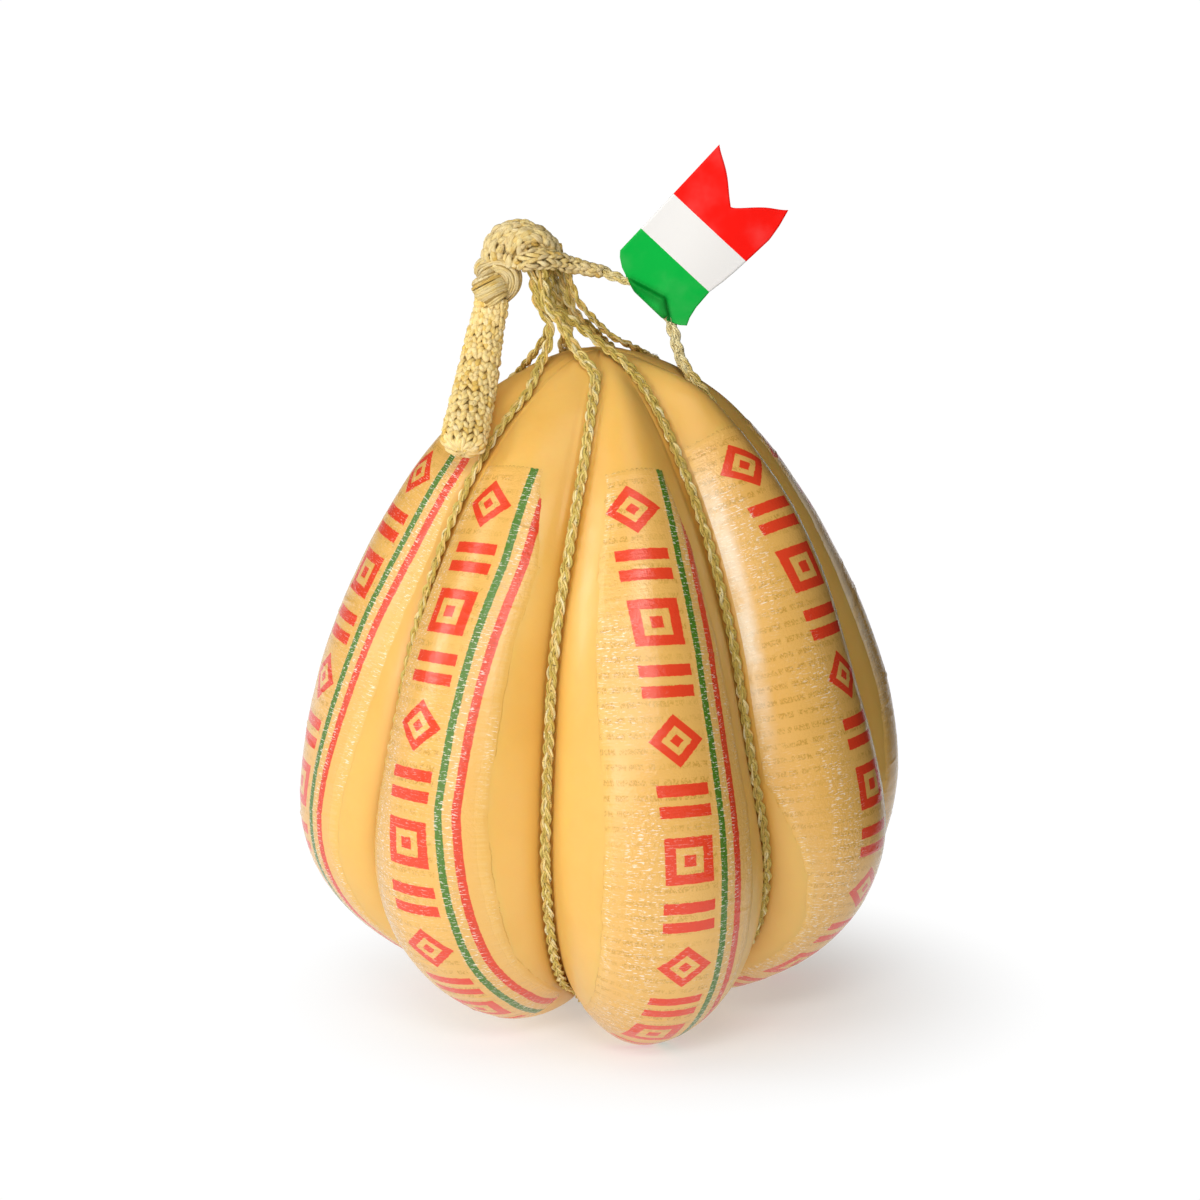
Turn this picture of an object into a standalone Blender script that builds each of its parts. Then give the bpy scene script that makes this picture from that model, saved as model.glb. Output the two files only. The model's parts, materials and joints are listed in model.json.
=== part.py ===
"""A whole sharp provolone: a waxed pear of cheese in eight lobes, corded lengthwise, with film and tag.

Metres, +Z up, standing on z = 0, its front towards -Y. An azimuth is 0 at the front and grows to +X.
"""

import math

import bmesh
import bpy
import numpy as np
from mathutils import Matrix, Vector

MM = 0.001
GAP = 0.35 * MM  # kept between pieces that touch

# The body, to the crests of the lobes
BELLY_RADIUS = 90.4 * MM
BELLY_HEIGHT = 65.6 * MM
TOP_HEIGHT = 199.9 * MM
SHOULDER_POWER, SHOULDER_ROOT = 1.604, 0.534
FOOT_RADIUS = 27.9 * MM  # where the lobes touch down
FOOT_FLAT = 1.5 * MM  # how much of them is pressed flat
NAVEL_DEPTH = 12.0 * MM
GROOVE_DEPTH = 14.9 * MM
CROWN_ROUNDNESS = 0.736  # below 1 a lobe is fuller across
CROWN_SOFTENING = 0.5  # added to it towards the top, where the lobes run together

# One entry for each cord, going round from the front left
CORD_AZIMUTH = (-55.5, -11.7, 35.9, 80.2, 128.3, 170.0, 208.0, 245.5)
CORD_TOP_DRIFT = (8.3, 9.0, -6.2, -4.8, 3.0, -4.0, 3.0, -2.0)  # degrees, towards the top
CORD_FOOT_DRIFT = (-5.4, 0.0, 7.9, 12.0, -3.0, 4.0, -4.0, 3.0)  # degrees, towards the underside
# One entry for each lobe, from its cord to the next
LOBE_SHOULDER = (-0.6, 1.9, 4.8, 0.5, 0.6, -0.8, 1.2, 0.5)  # mm fuller, at the shoulder
LOBE_SWELL = (2.4, 5.5, 1.0, 4.0, -1.7, 1.0, -0.6, -0.1)  # mm fuller, at the belly
LOBE_LIFT = (4.4, 0.8, 7.4, -1.0, 1.4, -0.4, -0.2, 7.7)  # mm shorter, at the underside

RINGS = 30
ACROSS = (0.06, 0.20, 0.35, 0.50, 0.65, 0.80, 0.94)  # columns of a lobe, between its two channels
COLUMNS = len(ACROSS) + 3

CORD_RADIUS = 1.65 * MM
CHANNEL_HALF = 2.2 * MM  # the flat that a cord has pressed into the wax
CORD_TOP_RING = (3, 2, 2, 4, 2, 2, 2, 3)  # the ring where each cord lifts off
CORD_LAST_RING = 28
# Each cord's free points below the knot, in mm, from its seat under the knot down
CORD_FREE = (
    ((-20.9, -3.8), (-18.5, -3.9, 214.9), (-15.1, -4.8, 208.8), (-15.0, -6.0, 202.8), (-17.3, -8.6, 197.3)),
    ((-17.8, -6.2), (-15.8, -6.9, 214.5), (-12.5, -7.9, 210.2), (-7.3, -10.0, 201.6), (-4.5, -15.3, 198.7)),
    ((-15.6, -3.0), (-14.1, -3.2, 214.7), (-9.7, -4.5, 210.2), (1.5, -9.0, 201.8), (5.9, -13.4, 199.2)),
    (),
    ((-12.4, -0.4), (-8.0, -0.3, 217.9), (-5.5, 0.0, 212.7), (2.7, 2.5, 203.7), (6.9, 3.0, 201.3)),
    ((-13.7, 3.2), (-8.6, 3.8, 212.0), (-2.4, 6.5, 204.6), (-0.6, 10.0, 201.9)),
    ((-17.4, 4.4), (-11.9, 6.8, 213.5), (-9.5, 8.2, 205.3), (-11.1, 10.0, 199.9)),
    ((-20.8, 0.6), (-17.3, -0.4, 215.1), (-14.7, -0.8, 209.0), (-16.3, 0.2, 203.3), (-20.2, 3.0, 197.1)),
)
TIE_RING_RADIUS = 7.5 * MM
TIE_RING_HEIGHT = 5.6 * MM
TIE_RING_POINTS = 12

FILM_THICKNESS = 0.25 * MM
FILM_GAP = 0.45 * MM
FILM_COLUMNS = (3, 7)
FILM_TOP_RING = (5, 6, 4, 4, 5, 5, 6, 5)
FILM_LAST_RING = 24

KNOT_CENTRE = Vector((-22.3, -1.0, 231.0)) * MM
KNOT_HALF = Vector((11.5, 8.6, 7.6)) * MM
WRAP_CENTRE = Vector((-30.9, -2.9, 218.2)) * MM
WRAP_HALF = Vector((7.6, 7.2, 5.2)) * MM
WRAP_TILT = -30.0
SEAT_CLEARANCE = 1.6 * MM
KNOT_SEGMENTS = 14

TAIL_WIDTH = 12.5 * MM
TAIL_THICKNESS = 8.2 * MM
TAIL_ROUTE = (
    (-32.3, -4.8, 211.6),
    (-33.3, -7.0, 206.5),
    (-34.6, -11.5, 198.4),
    (-35.7, -18.0, 190.5),
    (-36.9, -26.0, 184.1),
    (-37.9, -32.0, 178.9),
    (-38.6, -35.9, 175.9),
)
TAIL_RADII = (0.72, 0.74, 0.9, 0.98, 1.04, 1.1, 0.98)

# The cord that carries the tag leaves the knot sideways and crosses to the right shoulder
TAG_CORD = 3
TAG_CORD_ROUTE = (
    (-9.2, -1.0, 227.0),
    (-5.4, -1.3, 225.6),
    (0.5, -1.7, 222.8),
    (6.6, -2.0, 219.5),
    (10.7, -2.0, 218.9),
    (14.4, -2.0, 215.5),
    (19.9, -2.0, 210.4),
    (21.3, -2.3, 206.5),
    (22.3, -2.6, 202.8),
    (25.0, -3.1, 195.0),
)

TAG_CENTRE = Vector((14.4, -2.0, 215.5)) * MM  # on the cord inside its fold
TAG_ALONG = Vector((0.681, 0.0, 0.7325)).normalized()
TAG_FACE = Vector((0.0, -1.0, 0.0))
TAG_ACROSS = (-15.7, -12.2, -8.8, -4.4, 1.5, 7.5, 13.0)  # mm from that centre, along the cord
TAG_CORNER = (4.2, 1.2, 0.0, 0.0, 0.0, 0.0, 1.0)  # how far each place's edge is cut back, mm
TAG_FOLDED = (3, 5)  # only between these places does the label go round the cord
TAG_LENGTH = 46.7 * MM
TAG_NOTCH = 11.0 * MM
TAG_THICKNESS = 0.25 * MM
TAG_FOLD_RADIUS = CORD_RADIUS + GAP + TAG_THICKNESS
TAG_LAYER_HALF_GAP = 0.4 * MM
TAG_FOLD_STEPS = 3
TAG_STEPS = (0.04, 0.1, 0.2, 0.45, 0.72, 1.0)  # fractions of a layer's length


def clear_scene():
    for obj in list(bpy.data.objects):
        bpy.data.objects.remove(obj, do_unlink=True)


def new_collection(name):
    collection = bpy.data.collections.new(name)
    bpy.context.scene.collection.children.link(collection)
    return collection


def principled(name, colour, roughness):
    material = bpy.data.materials.new(name)
    material.use_nodes = True
    shader = material.node_tree.nodes["Principled BSDF"]
    shader.inputs["Base Color"].default_value = (*colour, 1.0)
    shader.inputs["Roughness"].default_value = roughness
    shader.inputs["Metallic"].default_value = 0.0
    return material


def smooth_step(x):
    x = min(max(x, 0.0), 1.0)
    return x * x * (3 - 2 * x)


def crest_profile():
    """(arc fraction, radius, height) along a plain lobe's crest, from the top to under the middle."""
    rise = TOP_HEIGHT - BELLY_HEIGHT
    u = 1 - np.linspace(0, 1, 400) ** 2
    upper = [BELLY_RADIUS * (1 - u**SHOULDER_POWER) ** SHOULDER_ROOT, BELLY_HEIGHT + rise * u]
    turn = np.linspace(0, math.pi / 2, 300)[1:]
    fall = BELLY_HEIGHT + FOOT_FLAT
    lower = [
        FOOT_RADIUS + (BELLY_RADIUS - FOOT_RADIUS) * np.cos(turn),
        BELLY_HEIGHT - fall * np.sin(turn),
    ]
    inward = np.linspace(1, 0, 100)[1:]
    navel = [
        FOOT_RADIUS * inward,
        (NAVEL_DEPTH + FOOT_FLAT) * (1 + np.cos(math.pi * inward)) / 2 - FOOT_FLAT,
    ]
    radius, height = np.concatenate([upper, lower, navel], axis=1)
    length = np.concatenate([[0], np.cumsum(np.hypot(np.diff(radius), np.diff(height)))])
    return length / length[-1], radius, height


PROFILE = crest_profile()


def on_profile(s):
    """Radius, height and outward normal of the crest line at arc fraction s."""
    share, radius, height = PROFILE
    step = 0.004
    ahead, behind = min(s + step, 1.0), max(s - step, 0.0)
    dr = np.interp(ahead, share, radius) - np.interp(behind, share, radius)
    dz = np.interp(ahead, share, height) - np.interp(behind, share, height)
    size = math.hypot(dr, dz)
    return np.interp(s, share, radius), np.interp(s, share, height), -dz / size, dr / size


def groove_depth(s):
    return GROOVE_DEPTH * smooth_step(s / 0.52) * smooth_step((1 - s) / 0.16)


def cord_azimuth(cord, s):
    turns, cord = divmod(cord, len(CORD_AZIMUTH))
    top_drift = CORD_TOP_DRIFT[cord] * (1 - smooth_step(s / 0.4))
    foot_drift = CORD_FOOT_DRIFT[cord] * smooth_step((s - 0.4) / 0.4)
    return math.radians(CORD_AZIMUTH[cord] + top_drift + foot_drift + 360 * turns)


def crown(s, q):
    """0 at a lobe's two channels and 1 on its crest."""
    roundness = CROWN_ROUNDNESS + CROWN_SOFTENING * (1 - smooth_step(s / 0.45))
    return math.sin(math.pi * min(max(q, 0.0), 1.0)) ** roundness


def surface_point(s, lobe, q):
    """A point of the wax at arc fraction s, q of the way across a lobe.

    A negative q is the middle of the groove before the lobe.
    """
    radius, height, out, up = on_profile(s)
    start, end = cord_azimuth(lobe, s), cord_azimuth(lobe + 1, s)
    channel = min(CHANNEL_HALF / max(radius, MM), 0.15 * (end - start))
    if q < 0:
        azimuth, full = start, 0.0
    else:
        azimuth = start + channel + q * (end - start - 2 * channel)
        full = crown(s, q)
    belly = smooth_step((s - 0.2) / 0.34) * smooth_step((1 - s) / 0.3)
    under = smooth_step((s - 0.583) / 0.234) * smooth_step((1 - s) / 0.1)
    shoulder = smooth_step((s - 0.03) / 0.1) * smooth_step((0.42 - s) / 0.2)
    swell = LOBE_SWELL[lobe] * belly - LOBE_LIFT[lobe] * under + LOBE_SHOULDER[lobe] * shoulder
    offset = full * swell * MM - (1 - full) * groove_depth(s)
    r = radius + offset * out
    return Vector((r * math.sin(azimuth), -r * math.cos(azimuth), height + offset * up))


def column_place(column):
    """The lobe and the fraction across it of one of the body's columns."""
    lobe, place = divmod(column % (COLUMNS * len(CORD_AZIMUTH)), COLUMNS)
    return lobe, (-1.0, 0.0, *ACROSS, 1.0)[place]


def link(obj, collection, material):
    collection.objects.link(obj)
    obj.data.materials.append(material)
    if obj.type == "MESH":
        obj.data.polygons.foreach_set("use_smooth", [True] * len(obj.data.polygons))
    return obj


def mesh_object(name, bm):
    mesh = bpy.data.meshes.new(name)
    bm.to_mesh(mesh)
    bm.free()
    return bpy.data.objects.new(name, mesh)


def make_cheese(collection, material):
    """A sphere whose rings and columns are moved to the lobed pear."""
    bm = bmesh.new()
    columns = COLUMNS * len(CORD_AZIMUTH)
    bmesh.ops.create_uvsphere(bm, u_segments=columns, v_segments=RINGS, radius=1.0)
    for vertex in bm.verts:
        ring = round(math.acos(max(-1.0, min(1.0, vertex.co.z))) / math.pi * RINGS)
        turn = math.atan2(vertex.co.x, -vertex.co.y) / (2 * math.pi)
        lobe, q = column_place(round(turn * columns))
        vertex.co = surface_point(ring / RINGS, lobe, q)
        vertex.co.z = max(vertex.co.z, 0.0)
    bmesh.ops.recalc_face_normals(bm, faces=bm.faces)
    return link(mesh_object("cheese", bm), collection, material)


def make_film(collection, material, lobe):
    """A strip of film: a patch of the lobe's own rings and columns, lifted off and given its thickness."""
    first, last = FILM_COLUMNS
    top = FILM_TOP_RING[lobe]
    bm = bmesh.new()
    bmesh.ops.create_grid(bm, x_segments=last - first, y_segments=FILM_LAST_RING - top, size=1.0)
    for vertex in bm.verts:
        column = first + round((vertex.co.x + 1) / 2 * (last - first)) + COLUMNS * lobe
        ring = FILM_LAST_RING - round((vertex.co.y + 1) / 2 * (FILM_LAST_RING - top))
        place, q = column_place(column)
        vertex.co = surface_point(ring / RINGS, place, q)
    bm.normal_update()
    for vertex, lifted in [(v, v.co + v.normal * FILM_GAP) for v in bm.verts]:
        vertex.co = lifted
    obj = mesh_object(f"film_{lobe + 1}", bm)
    solidify = obj.modifiers.new("thickness", "SOLIDIFY")
    solidify.thickness = FILM_THICKNESS
    solidify.offset = 1.0
    return link(obj, collection, material)


def add_tube(collection, material, name, points, radius, cyclic=False):
    curve = bpy.data.curves.new(name, "CURVE")
    curve.dimensions = "3D"
    curve.bevel_depth = radius
    curve.bevel_resolution = 2
    curve.use_fill_caps = True
    spline = curve.splines.new("POLY")
    spline.points.add(len(points) - 1)
    for point, place in zip(spline.points, points):
        point.co = (*place, 1.0)
    spline.use_cyclic_u = cyclic
    return link(bpy.data.objects.new(name, curve), collection, material)


def knot_seat(x, y):
    """The point just under the knot where a cord's end goes in."""
    across = Vector((x, y)) * MM - KNOT_CENTRE.to_2d()
    inside = 1 - (across.x / KNOT_HALF.x) ** 2 - (across.y / KNOT_HALF.y) ** 2
    return Vector((x * MM, y * MM, KNOT_CENTRE.z - KNOT_HALF.z * math.sqrt(inside) - SEAT_CLEARANCE))


def smooth_route(points, steps):
    """Points read from a smooth curve through the given ones."""
    route = []
    for i in range(len(points) - 1):
        a, b = points[max(i - 1, 0)], points[i]
        c, d = points[i + 1], points[min(i + 2, len(points) - 1)]
        for j in range(steps):
            t = j / steps
            route.append(
                0.5
                * (
                    2 * b
                    + (c - a) * t
                    + (2 * a - 5 * b + 4 * c - d) * t * t
                    + (3 * b - a - 3 * c + d) * t**3
                )
            )
    return [*route, points[-1]]


def in_groove(cord, s, lift):
    """The point raised by lift off the floor of a cord's groove, square to that floor."""
    step = 0.01
    floor = surface_point(s, cord, -1.0)
    along = surface_point(s + step, cord, -1.0) - surface_point(s - step, cord, -1.0)
    azimuth = cord_azimuth(cord, s)
    across = Vector((math.cos(azimuth), math.sin(azimuth), 0.0))
    return floor + across.cross(along).normalized() * -lift


def cord_route(cord):
    lift = CORD_RADIUS + GAP
    top = CORD_TOP_RING[cord]
    groove = [in_groove(cord, ring / RINGS, lift) for ring in range(top, CORD_LAST_RING + 1)]
    if cord == TAG_CORD:
        free = [Vector(place) * MM for place in TAG_CORD_ROUTE]
    else:
        free = [knot_seat(*CORD_FREE[cord][0])] + [Vector(place) * MM for place in CORD_FREE[cord][1:]]
    azimuth = cord_azimuth(cord, CORD_LAST_RING / RINGS)
    reach = TIE_RING_RADIUS + lift
    end = Vector((reach * math.sin(azimuth), -reach * math.cos(azimuth), TIE_RING_HEIGHT))
    return smooth_route([*free, groove[0]], 2)[:-1] + groove + [end]


def make_cords(collection, material):
    for cord in range(len(CORD_AZIMUTH)):
        add_tube(collection, material, f"cord_{cord + 1}", cord_route(cord), CORD_RADIUS)
    turns = [2 * math.pi * i / TIE_RING_POINTS for i in range(TIE_RING_POINTS)]
    ring = [
        Vector((TIE_RING_RADIUS * math.cos(t), TIE_RING_RADIUS * math.sin(t), TIE_RING_HEIGHT))
        for t in turns
    ]
    add_tube(collection, material, "cord_ring", ring, CORD_RADIUS, cyclic=True)


def make_knot(collection, material, name, centre, half, tilt):
    """A ball of knitted cord: a sphere squeezed to three half sizes and tilted about Y."""
    bm = bmesh.new()
    bmesh.ops.create_uvsphere(bm, u_segments=KNOT_SEGMENTS, v_segments=KNOT_SEGMENTS // 2, radius=1.0)
    turn = Matrix.Rotation(math.radians(tilt), 4, "Y")
    shape = Matrix.Translation(centre) @ turn @ Matrix.Diagonal((*half, 1.0))
    bmesh.ops.transform(bm, matrix=shape, verts=bm.verts)
    return link(mesh_object(name, bm), collection, material)


def make_tail(collection, material):
    """The flattened end of the knitted cord: an oval section swept down its route."""
    section = bpy.data.curves.new("tail_section", "CURVE")
    oval = section.splines.new("POLY")
    count = 12
    oval.points.add(count - 1)
    for i, point in enumerate(oval.points):
        t = -2 * math.pi * i / count
        point.co = (TAIL_WIDTH / 2 * math.cos(t), TAIL_THICKNESS / 2 * math.sin(t), 0.0, 1.0)
    oval.use_cyclic_u = True
    profile = bpy.data.objects.new("tail_section", section)
    profile.hide_render = True
    collection.objects.link(profile)
    route = smooth_route([Vector(place) * MM for place in TAIL_ROUTE], 2)
    tail = add_tube(collection, material, "tail", route, 0.0)
    tail.data.bevel_mode = "OBJECT"
    tail.data.bevel_object = profile
    tail.data.twist_mode = "Z_UP"
    places = np.linspace(0, len(TAIL_RADII) - 1, len(route))
    for point, place in zip(tail.data.splines[0].points, places):
        point.radius = np.interp(place, range(len(TAIL_RADII)), TAIL_RADII)
    return tail


def tag_point(column, row):
    """A point of the folded label. Rows count from the fold: negative at the back, positive in front."""
    c = TAG_ACROSS[column] * MM
    half_width = (TAG_ACROSS[-1] - TAG_ACROSS[0]) / 2 * MM
    middle = 1 - abs(c - (TAG_ACROSS[0] * MM + half_width)) / half_width
    end = TAG_LENGTH - TAG_NOTCH * middle
    if abs(row) < TAG_FOLD_STEPS:
        turn = math.pi / 2 * abs(row) / TAG_FOLD_STEPS
        d = -TAG_FOLD_RADIUS * math.cos(turn)
        n = TAG_FOLD_RADIUS * math.sin(turn)
    else:
        start = TAG_CORNER[column] * MM
        share = (0.0, *TAG_STEPS)[abs(row) - TAG_FOLD_STEPS]
        d = start + share * (end - start)
        n = TAG_LAYER_HALF_GAP + (TAG_FOLD_RADIUS - TAG_LAYER_HALF_GAP) * math.exp(-((d / (5 * MM)) ** 2))
    side = TAG_ALONG.cross(TAG_FACE)
    return TAG_CENTRE + side * c + TAG_ALONG * d + TAG_FACE * math.copysign(n, row)


def make_tag(collection, material):
    """The tricolour label: a sheet folded round its cord in the middle of its edge and stuck to itself."""
    columns, rows = len(TAG_ACROSS) - 1, 2 * (TAG_FOLD_STEPS + len(TAG_STEPS))
    bm = bmesh.new()
    bmesh.ops.create_grid(bm, x_segments=columns, y_segments=rows, size=1.0)
    places = {v: (round((v.co.x + 1) / 2 * columns), round(v.co.y * rows / 2)) for v in bm.verts}
    for vertex, (column, row) in places.items():
        vertex.co = tag_point(column, row)
    first, last = TAG_FOLDED
    unfolded = [
        face
        for face in bm.faces
        if all(abs(places[v][1]) <= TAG_FOLD_STEPS for v in face.verts)
        and not all(first <= places[v][0] <= last for v in face.verts)
    ]
    bmesh.ops.delete(bm, geom=unfolded, context="FACES")
    bmesh.ops.recalc_face_normals(bm, faces=bm.faces)
    obj = mesh_object("tag", bm)
    solidify = obj.modifiers.new("thickness", "SOLIDIFY")
    solidify.thickness = TAG_THICKNESS
    solidify.offset = 0.0
    return link(obj, collection, material)


def main():
    clear_scene()
    parts = new_collection("sharp_provolone")
    wax = principled("wax", (0.86, 0.55, 0.22), 0.35)
    film = principled("film", (0.88, 0.57, 0.24), 0.3)
    raffia = principled("raffia", (0.60, 0.46, 0.20), 0.85)
    paper = principled("tag_paper", (0.90, 0.05, 0.03), 0.45)
    make_cheese(parts, wax)
    for lobe in range(len(CORD_AZIMUTH)):
        make_film(parts, film, lobe)
    make_cords(parts, raffia)
    make_knot(parts, raffia, "knot_top", KNOT_CENTRE, KNOT_HALF, 0.0)
    make_knot(parts, raffia, "knot_wrap", WRAP_CENTRE, WRAP_HALF, WRAP_TILT)
    make_tail(parts, raffia)
    make_tag(parts, paper)


main()
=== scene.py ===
# %% [markdown]
# # A whole sharp provolone in its cords
#
# The solids of this cheese are already measured and packed: a lobed body, eight strips of film, eight
# cords that meet in a knot, and a folded label. This lesson dresses them. Each step first says what the
# real thing is, then how it could be made, then why it is made this way here. Lengths are in metres, +Z is
# up, and the front of the cheese faces -Y.

# %% Load the measured solids
import json
import math

import bpy
import numpy as np
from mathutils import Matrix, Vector, noise

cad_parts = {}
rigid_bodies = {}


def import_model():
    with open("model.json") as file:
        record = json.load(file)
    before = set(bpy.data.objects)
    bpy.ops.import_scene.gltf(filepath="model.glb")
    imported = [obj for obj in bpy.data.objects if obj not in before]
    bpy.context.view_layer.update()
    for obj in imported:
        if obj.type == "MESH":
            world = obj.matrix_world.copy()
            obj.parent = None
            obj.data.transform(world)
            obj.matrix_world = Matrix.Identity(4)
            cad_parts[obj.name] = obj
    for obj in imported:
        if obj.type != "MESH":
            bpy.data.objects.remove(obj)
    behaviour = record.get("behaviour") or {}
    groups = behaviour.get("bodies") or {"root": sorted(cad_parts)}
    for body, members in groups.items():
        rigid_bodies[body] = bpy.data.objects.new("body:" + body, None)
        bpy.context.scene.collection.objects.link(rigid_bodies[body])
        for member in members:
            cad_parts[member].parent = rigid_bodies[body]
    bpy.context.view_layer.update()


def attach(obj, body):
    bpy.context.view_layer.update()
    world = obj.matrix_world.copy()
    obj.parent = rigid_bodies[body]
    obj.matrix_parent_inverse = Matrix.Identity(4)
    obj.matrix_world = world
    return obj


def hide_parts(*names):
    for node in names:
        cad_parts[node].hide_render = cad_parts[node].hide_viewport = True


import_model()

MM = 0.001
bpy.ops.object.select_all(action="DESELECT")

# %% [markdown]
# ## The camera
#
# A long lens well back keeps the sides of the cheese nearly parallel, as in a catalogue photograph. It looks
# down a little, so the lobes' undersides and the shoulder both show.

# %% Camera
CAMERA_DISTANCE = 1.2
CAMERA_RISE = math.radians(13)
CAMERA_TARGET = Vector((0, 0, 123.5 * MM))
LENS_MM = 120
SENSOR_MM = 36

bpy.ops.object.camera_add(
    location=CAMERA_TARGET + Vector((0, -math.cos(CAMERA_RISE), math.sin(CAMERA_RISE))) * CAMERA_DISTANCE,
    rotation=(math.pi / 2 - CAMERA_RISE, 0, 0),
)
camera = bpy.context.object
camera.data.lens = LENS_MM
camera.data.sensor_width = SENSOR_MM
bpy.context.scene.camera = camera
print("camera at", [round(x, 3) for x in camera.location])

# %% [markdown]
# ## Studio light and a white floor
#
# The photograph has a white sweep, a large soft light low on the front left, one above the camera, one at the
# left that draws a sheen along each lobe's left flank, and a weak one overhead. The white floor throws the front
# light back up, so the lobes' undersides stay bright. A black card stands on the right, as photographers place one
# to keep the sweep's light off that side, and the lobes there fall into shade. The card isn't seen itself. The
# floor is a plane. Near the cheese it is matt with a glow, so that it catches a light shadow, and further out it
# glows fully white, as a lit sweep does. The matt part lies a little to the right, where the shadow falls.


# %% Lights
WORLD_COLOUR, WORLD_GLOW = (1.0, 0.995, 0.985, 1), 0.03


def softbox(name, place, size, watts, colour):
    """A rectangular light that faces the cheese."""
    bpy.ops.object.light_add(type="AREA", location=place)
    lamp = bpy.context.object
    lamp.name = name
    lamp.data.shape = "RECTANGLE"
    lamp.data.size, lamp.data.size_y = size
    lamp.data.energy = watts
    lamp.data.color = colour
    lamp.rotation_euler = (CAMERA_TARGET - Vector(place)).to_track_quat("-Z", "Y").to_euler()


softbox("front_left", (-0.76, -1.24, 0.50), (0.7, 0.7), 9.2, (1.0, 0.98, 0.94))
softbox("front_top", (0.01, -1.04, 0.86), (0.50, 0.30), 6.4, (1.0, 0.985, 0.95))
softbox("left_strip", (-1.16, -0.10, 0.62), (0.22, 0.6), 4.4, (1.0, 0.99, 0.97))
softbox("overhead", (0.00, -0.42, 1.35), (0.9, 0.5), 2.4, (1.0, 0.99, 0.97))

world = bpy.data.worlds.new("studio")
bpy.context.scene.world = world
world.use_nodes = True
backdrop = world.node_tree.nodes["Background"]
backdrop.inputs["Color"].default_value = WORLD_COLOUR
backdrop.inputs["Strength"].default_value = WORLD_GLOW
bpy.context.scene.view_settings.view_transform = "Standard"


# %% Helpers for finishes
def new_material(name):
    """A new node material, its tree and its shader."""
    made = bpy.data.materials.new(name)
    made.use_nodes = True
    tree = made.node_tree
    return made, tree, tree.nodes["Principled BSDF"]


def feed(tree, socket, value):
    """Join an output to an input, or set the input. A colour of three numbers gets its alpha."""
    if isinstance(value, bpy.types.NodeSocket):
        tree.links.new(value, socket)
    elif socket.type == "RGBA" and len(value) == 3:
        socket.default_value = (*value, 1.0)
    else:
        socket.default_value = value


def set_inputs(tree, node, inputs):
    for key, value in inputs.items():
        feed(tree, node.inputs[key], value)


def add_node(tree, kind, inputs=None, **settings):
    """A node with its settings and inputs."""
    made = tree.nodes.new(kind)
    for key, value in settings.items():
        setattr(made, key, value)
    set_inputs(tree, made, inputs or {})
    return made


def object_place(tree):
    return add_node(tree, "ShaderNodeTexCoord").outputs["Object"]


def calculate(tree, operation, *values):
    """The result of one Math node."""
    return add_node(tree, "ShaderNodeMath", dict(enumerate(values)), operation=operation).outputs[0]


def times(tree, result, *others):
    """The product of several values."""
    for value in others:
        result = calculate(tree, "MULTIPLY", result, value)
    return result


def rescale(tree, value, low, high, to_low=0.0, to_high=1.0, smooth=True):
    """A value moved from one range to another and held inside it."""
    kind = "SMOOTHSTEP" if smooth else "LINEAR"
    inputs = {"Value": value, "From Min": low, "From Max": high, "To Min": to_low, "To Max": to_high}
    return add_node(tree, "ShaderNodeMapRange", inputs, interpolation_type=kind).outputs["Result"]


def blend(tree, share, first, second):
    """One colour over another by a share."""
    return add_node(tree, "ShaderNodeMix", {0: share, 6: first, 7: second}, data_type="RGBA").outputs[2]


# %% Floor and card
FLOOR_SIZE = 14
FLOOR_COLOUR = (0.54, 0.55, 0.56)
MATT_SHIFT, MATT_SCALE = (-0.018, 0.0, 0.0), (0.95, 1.0, 1.0)
SWEEP_START, SWEEP_FULL = 0.030, 0.125
NEAR_GLOW, NEAR_TINT = 0.42, (1, 0.99, 0.975, 1)
SWEEP_GLOW, SWEEP_TINT = 1.02, (1, 1, 1, 1)
CARD_CORNERS = ((0.155, -0.20), (0.300, 0.62))
CARD_HEIGHT = 0.50
CARD_BLACK = (0.01, 0.01, 0.01)

sweep, tree, shader = new_material("white_sweep")
set_inputs(tree, shader, {"Base Color": FLOOR_COLOUR, "Roughness": 0.7, "Specular IOR Level": 0.2})
matt_place = add_node(
    tree, "ShaderNodeMapping", {"Vector": object_place(tree), "Location": MATT_SHIFT, "Scale": MATT_SCALE}
)
from_middle = add_node(tree, "ShaderNodeVectorMath", {0: matt_place.outputs[0]}, operation="LENGTH").outputs["Value"]
far_floor = add_node(tree, "ShaderNodeEmission", {"Color": SWEEP_TINT, "Strength": SWEEP_GLOW})
faint = add_node(tree, "ShaderNodeEmission", {"Color": NEAR_TINT, "Strength": NEAR_GLOW})
near_floor = add_node(tree, "ShaderNodeAddShader", {0: shader.outputs[0], 1: faint.outputs[0]})
away = rescale(tree, from_middle, SWEEP_START, SWEEP_FULL)
mixed = add_node(tree, "ShaderNodeMixShader", {0: away, 1: near_floor.outputs[0], 2: far_floor.outputs[0]})
set_inputs(tree, tree.nodes["Material Output"], {"Surface": mixed.outputs[0]})

bpy.ops.mesh.primitive_plane_add(size=FLOOR_SIZE)
floor = bpy.context.object
floor.name = "floor"
floor.data.materials.append(sweep)

black_card, tree, shader = new_material("black_card")
set_inputs(tree, shader, {"Base Color": CARD_BLACK, "Roughness": 0.9, "Specular IOR Level": 0.0})
card_mesh = bpy.data.meshes.new("card")
near, far = CARD_CORNERS
card_mesh.from_pydata(
    [(*near, 0.0), (*far, 0.0), (*far, CARD_HEIGHT), (*near, CARD_HEIGHT)], [], [(3, 2, 1, 0)]
)
card_mesh.materials.append(black_card)
card = bpy.data.objects.new("card", card_mesh)
bpy.context.scene.collection.objects.link(card)
card.visible_camera = False

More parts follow.
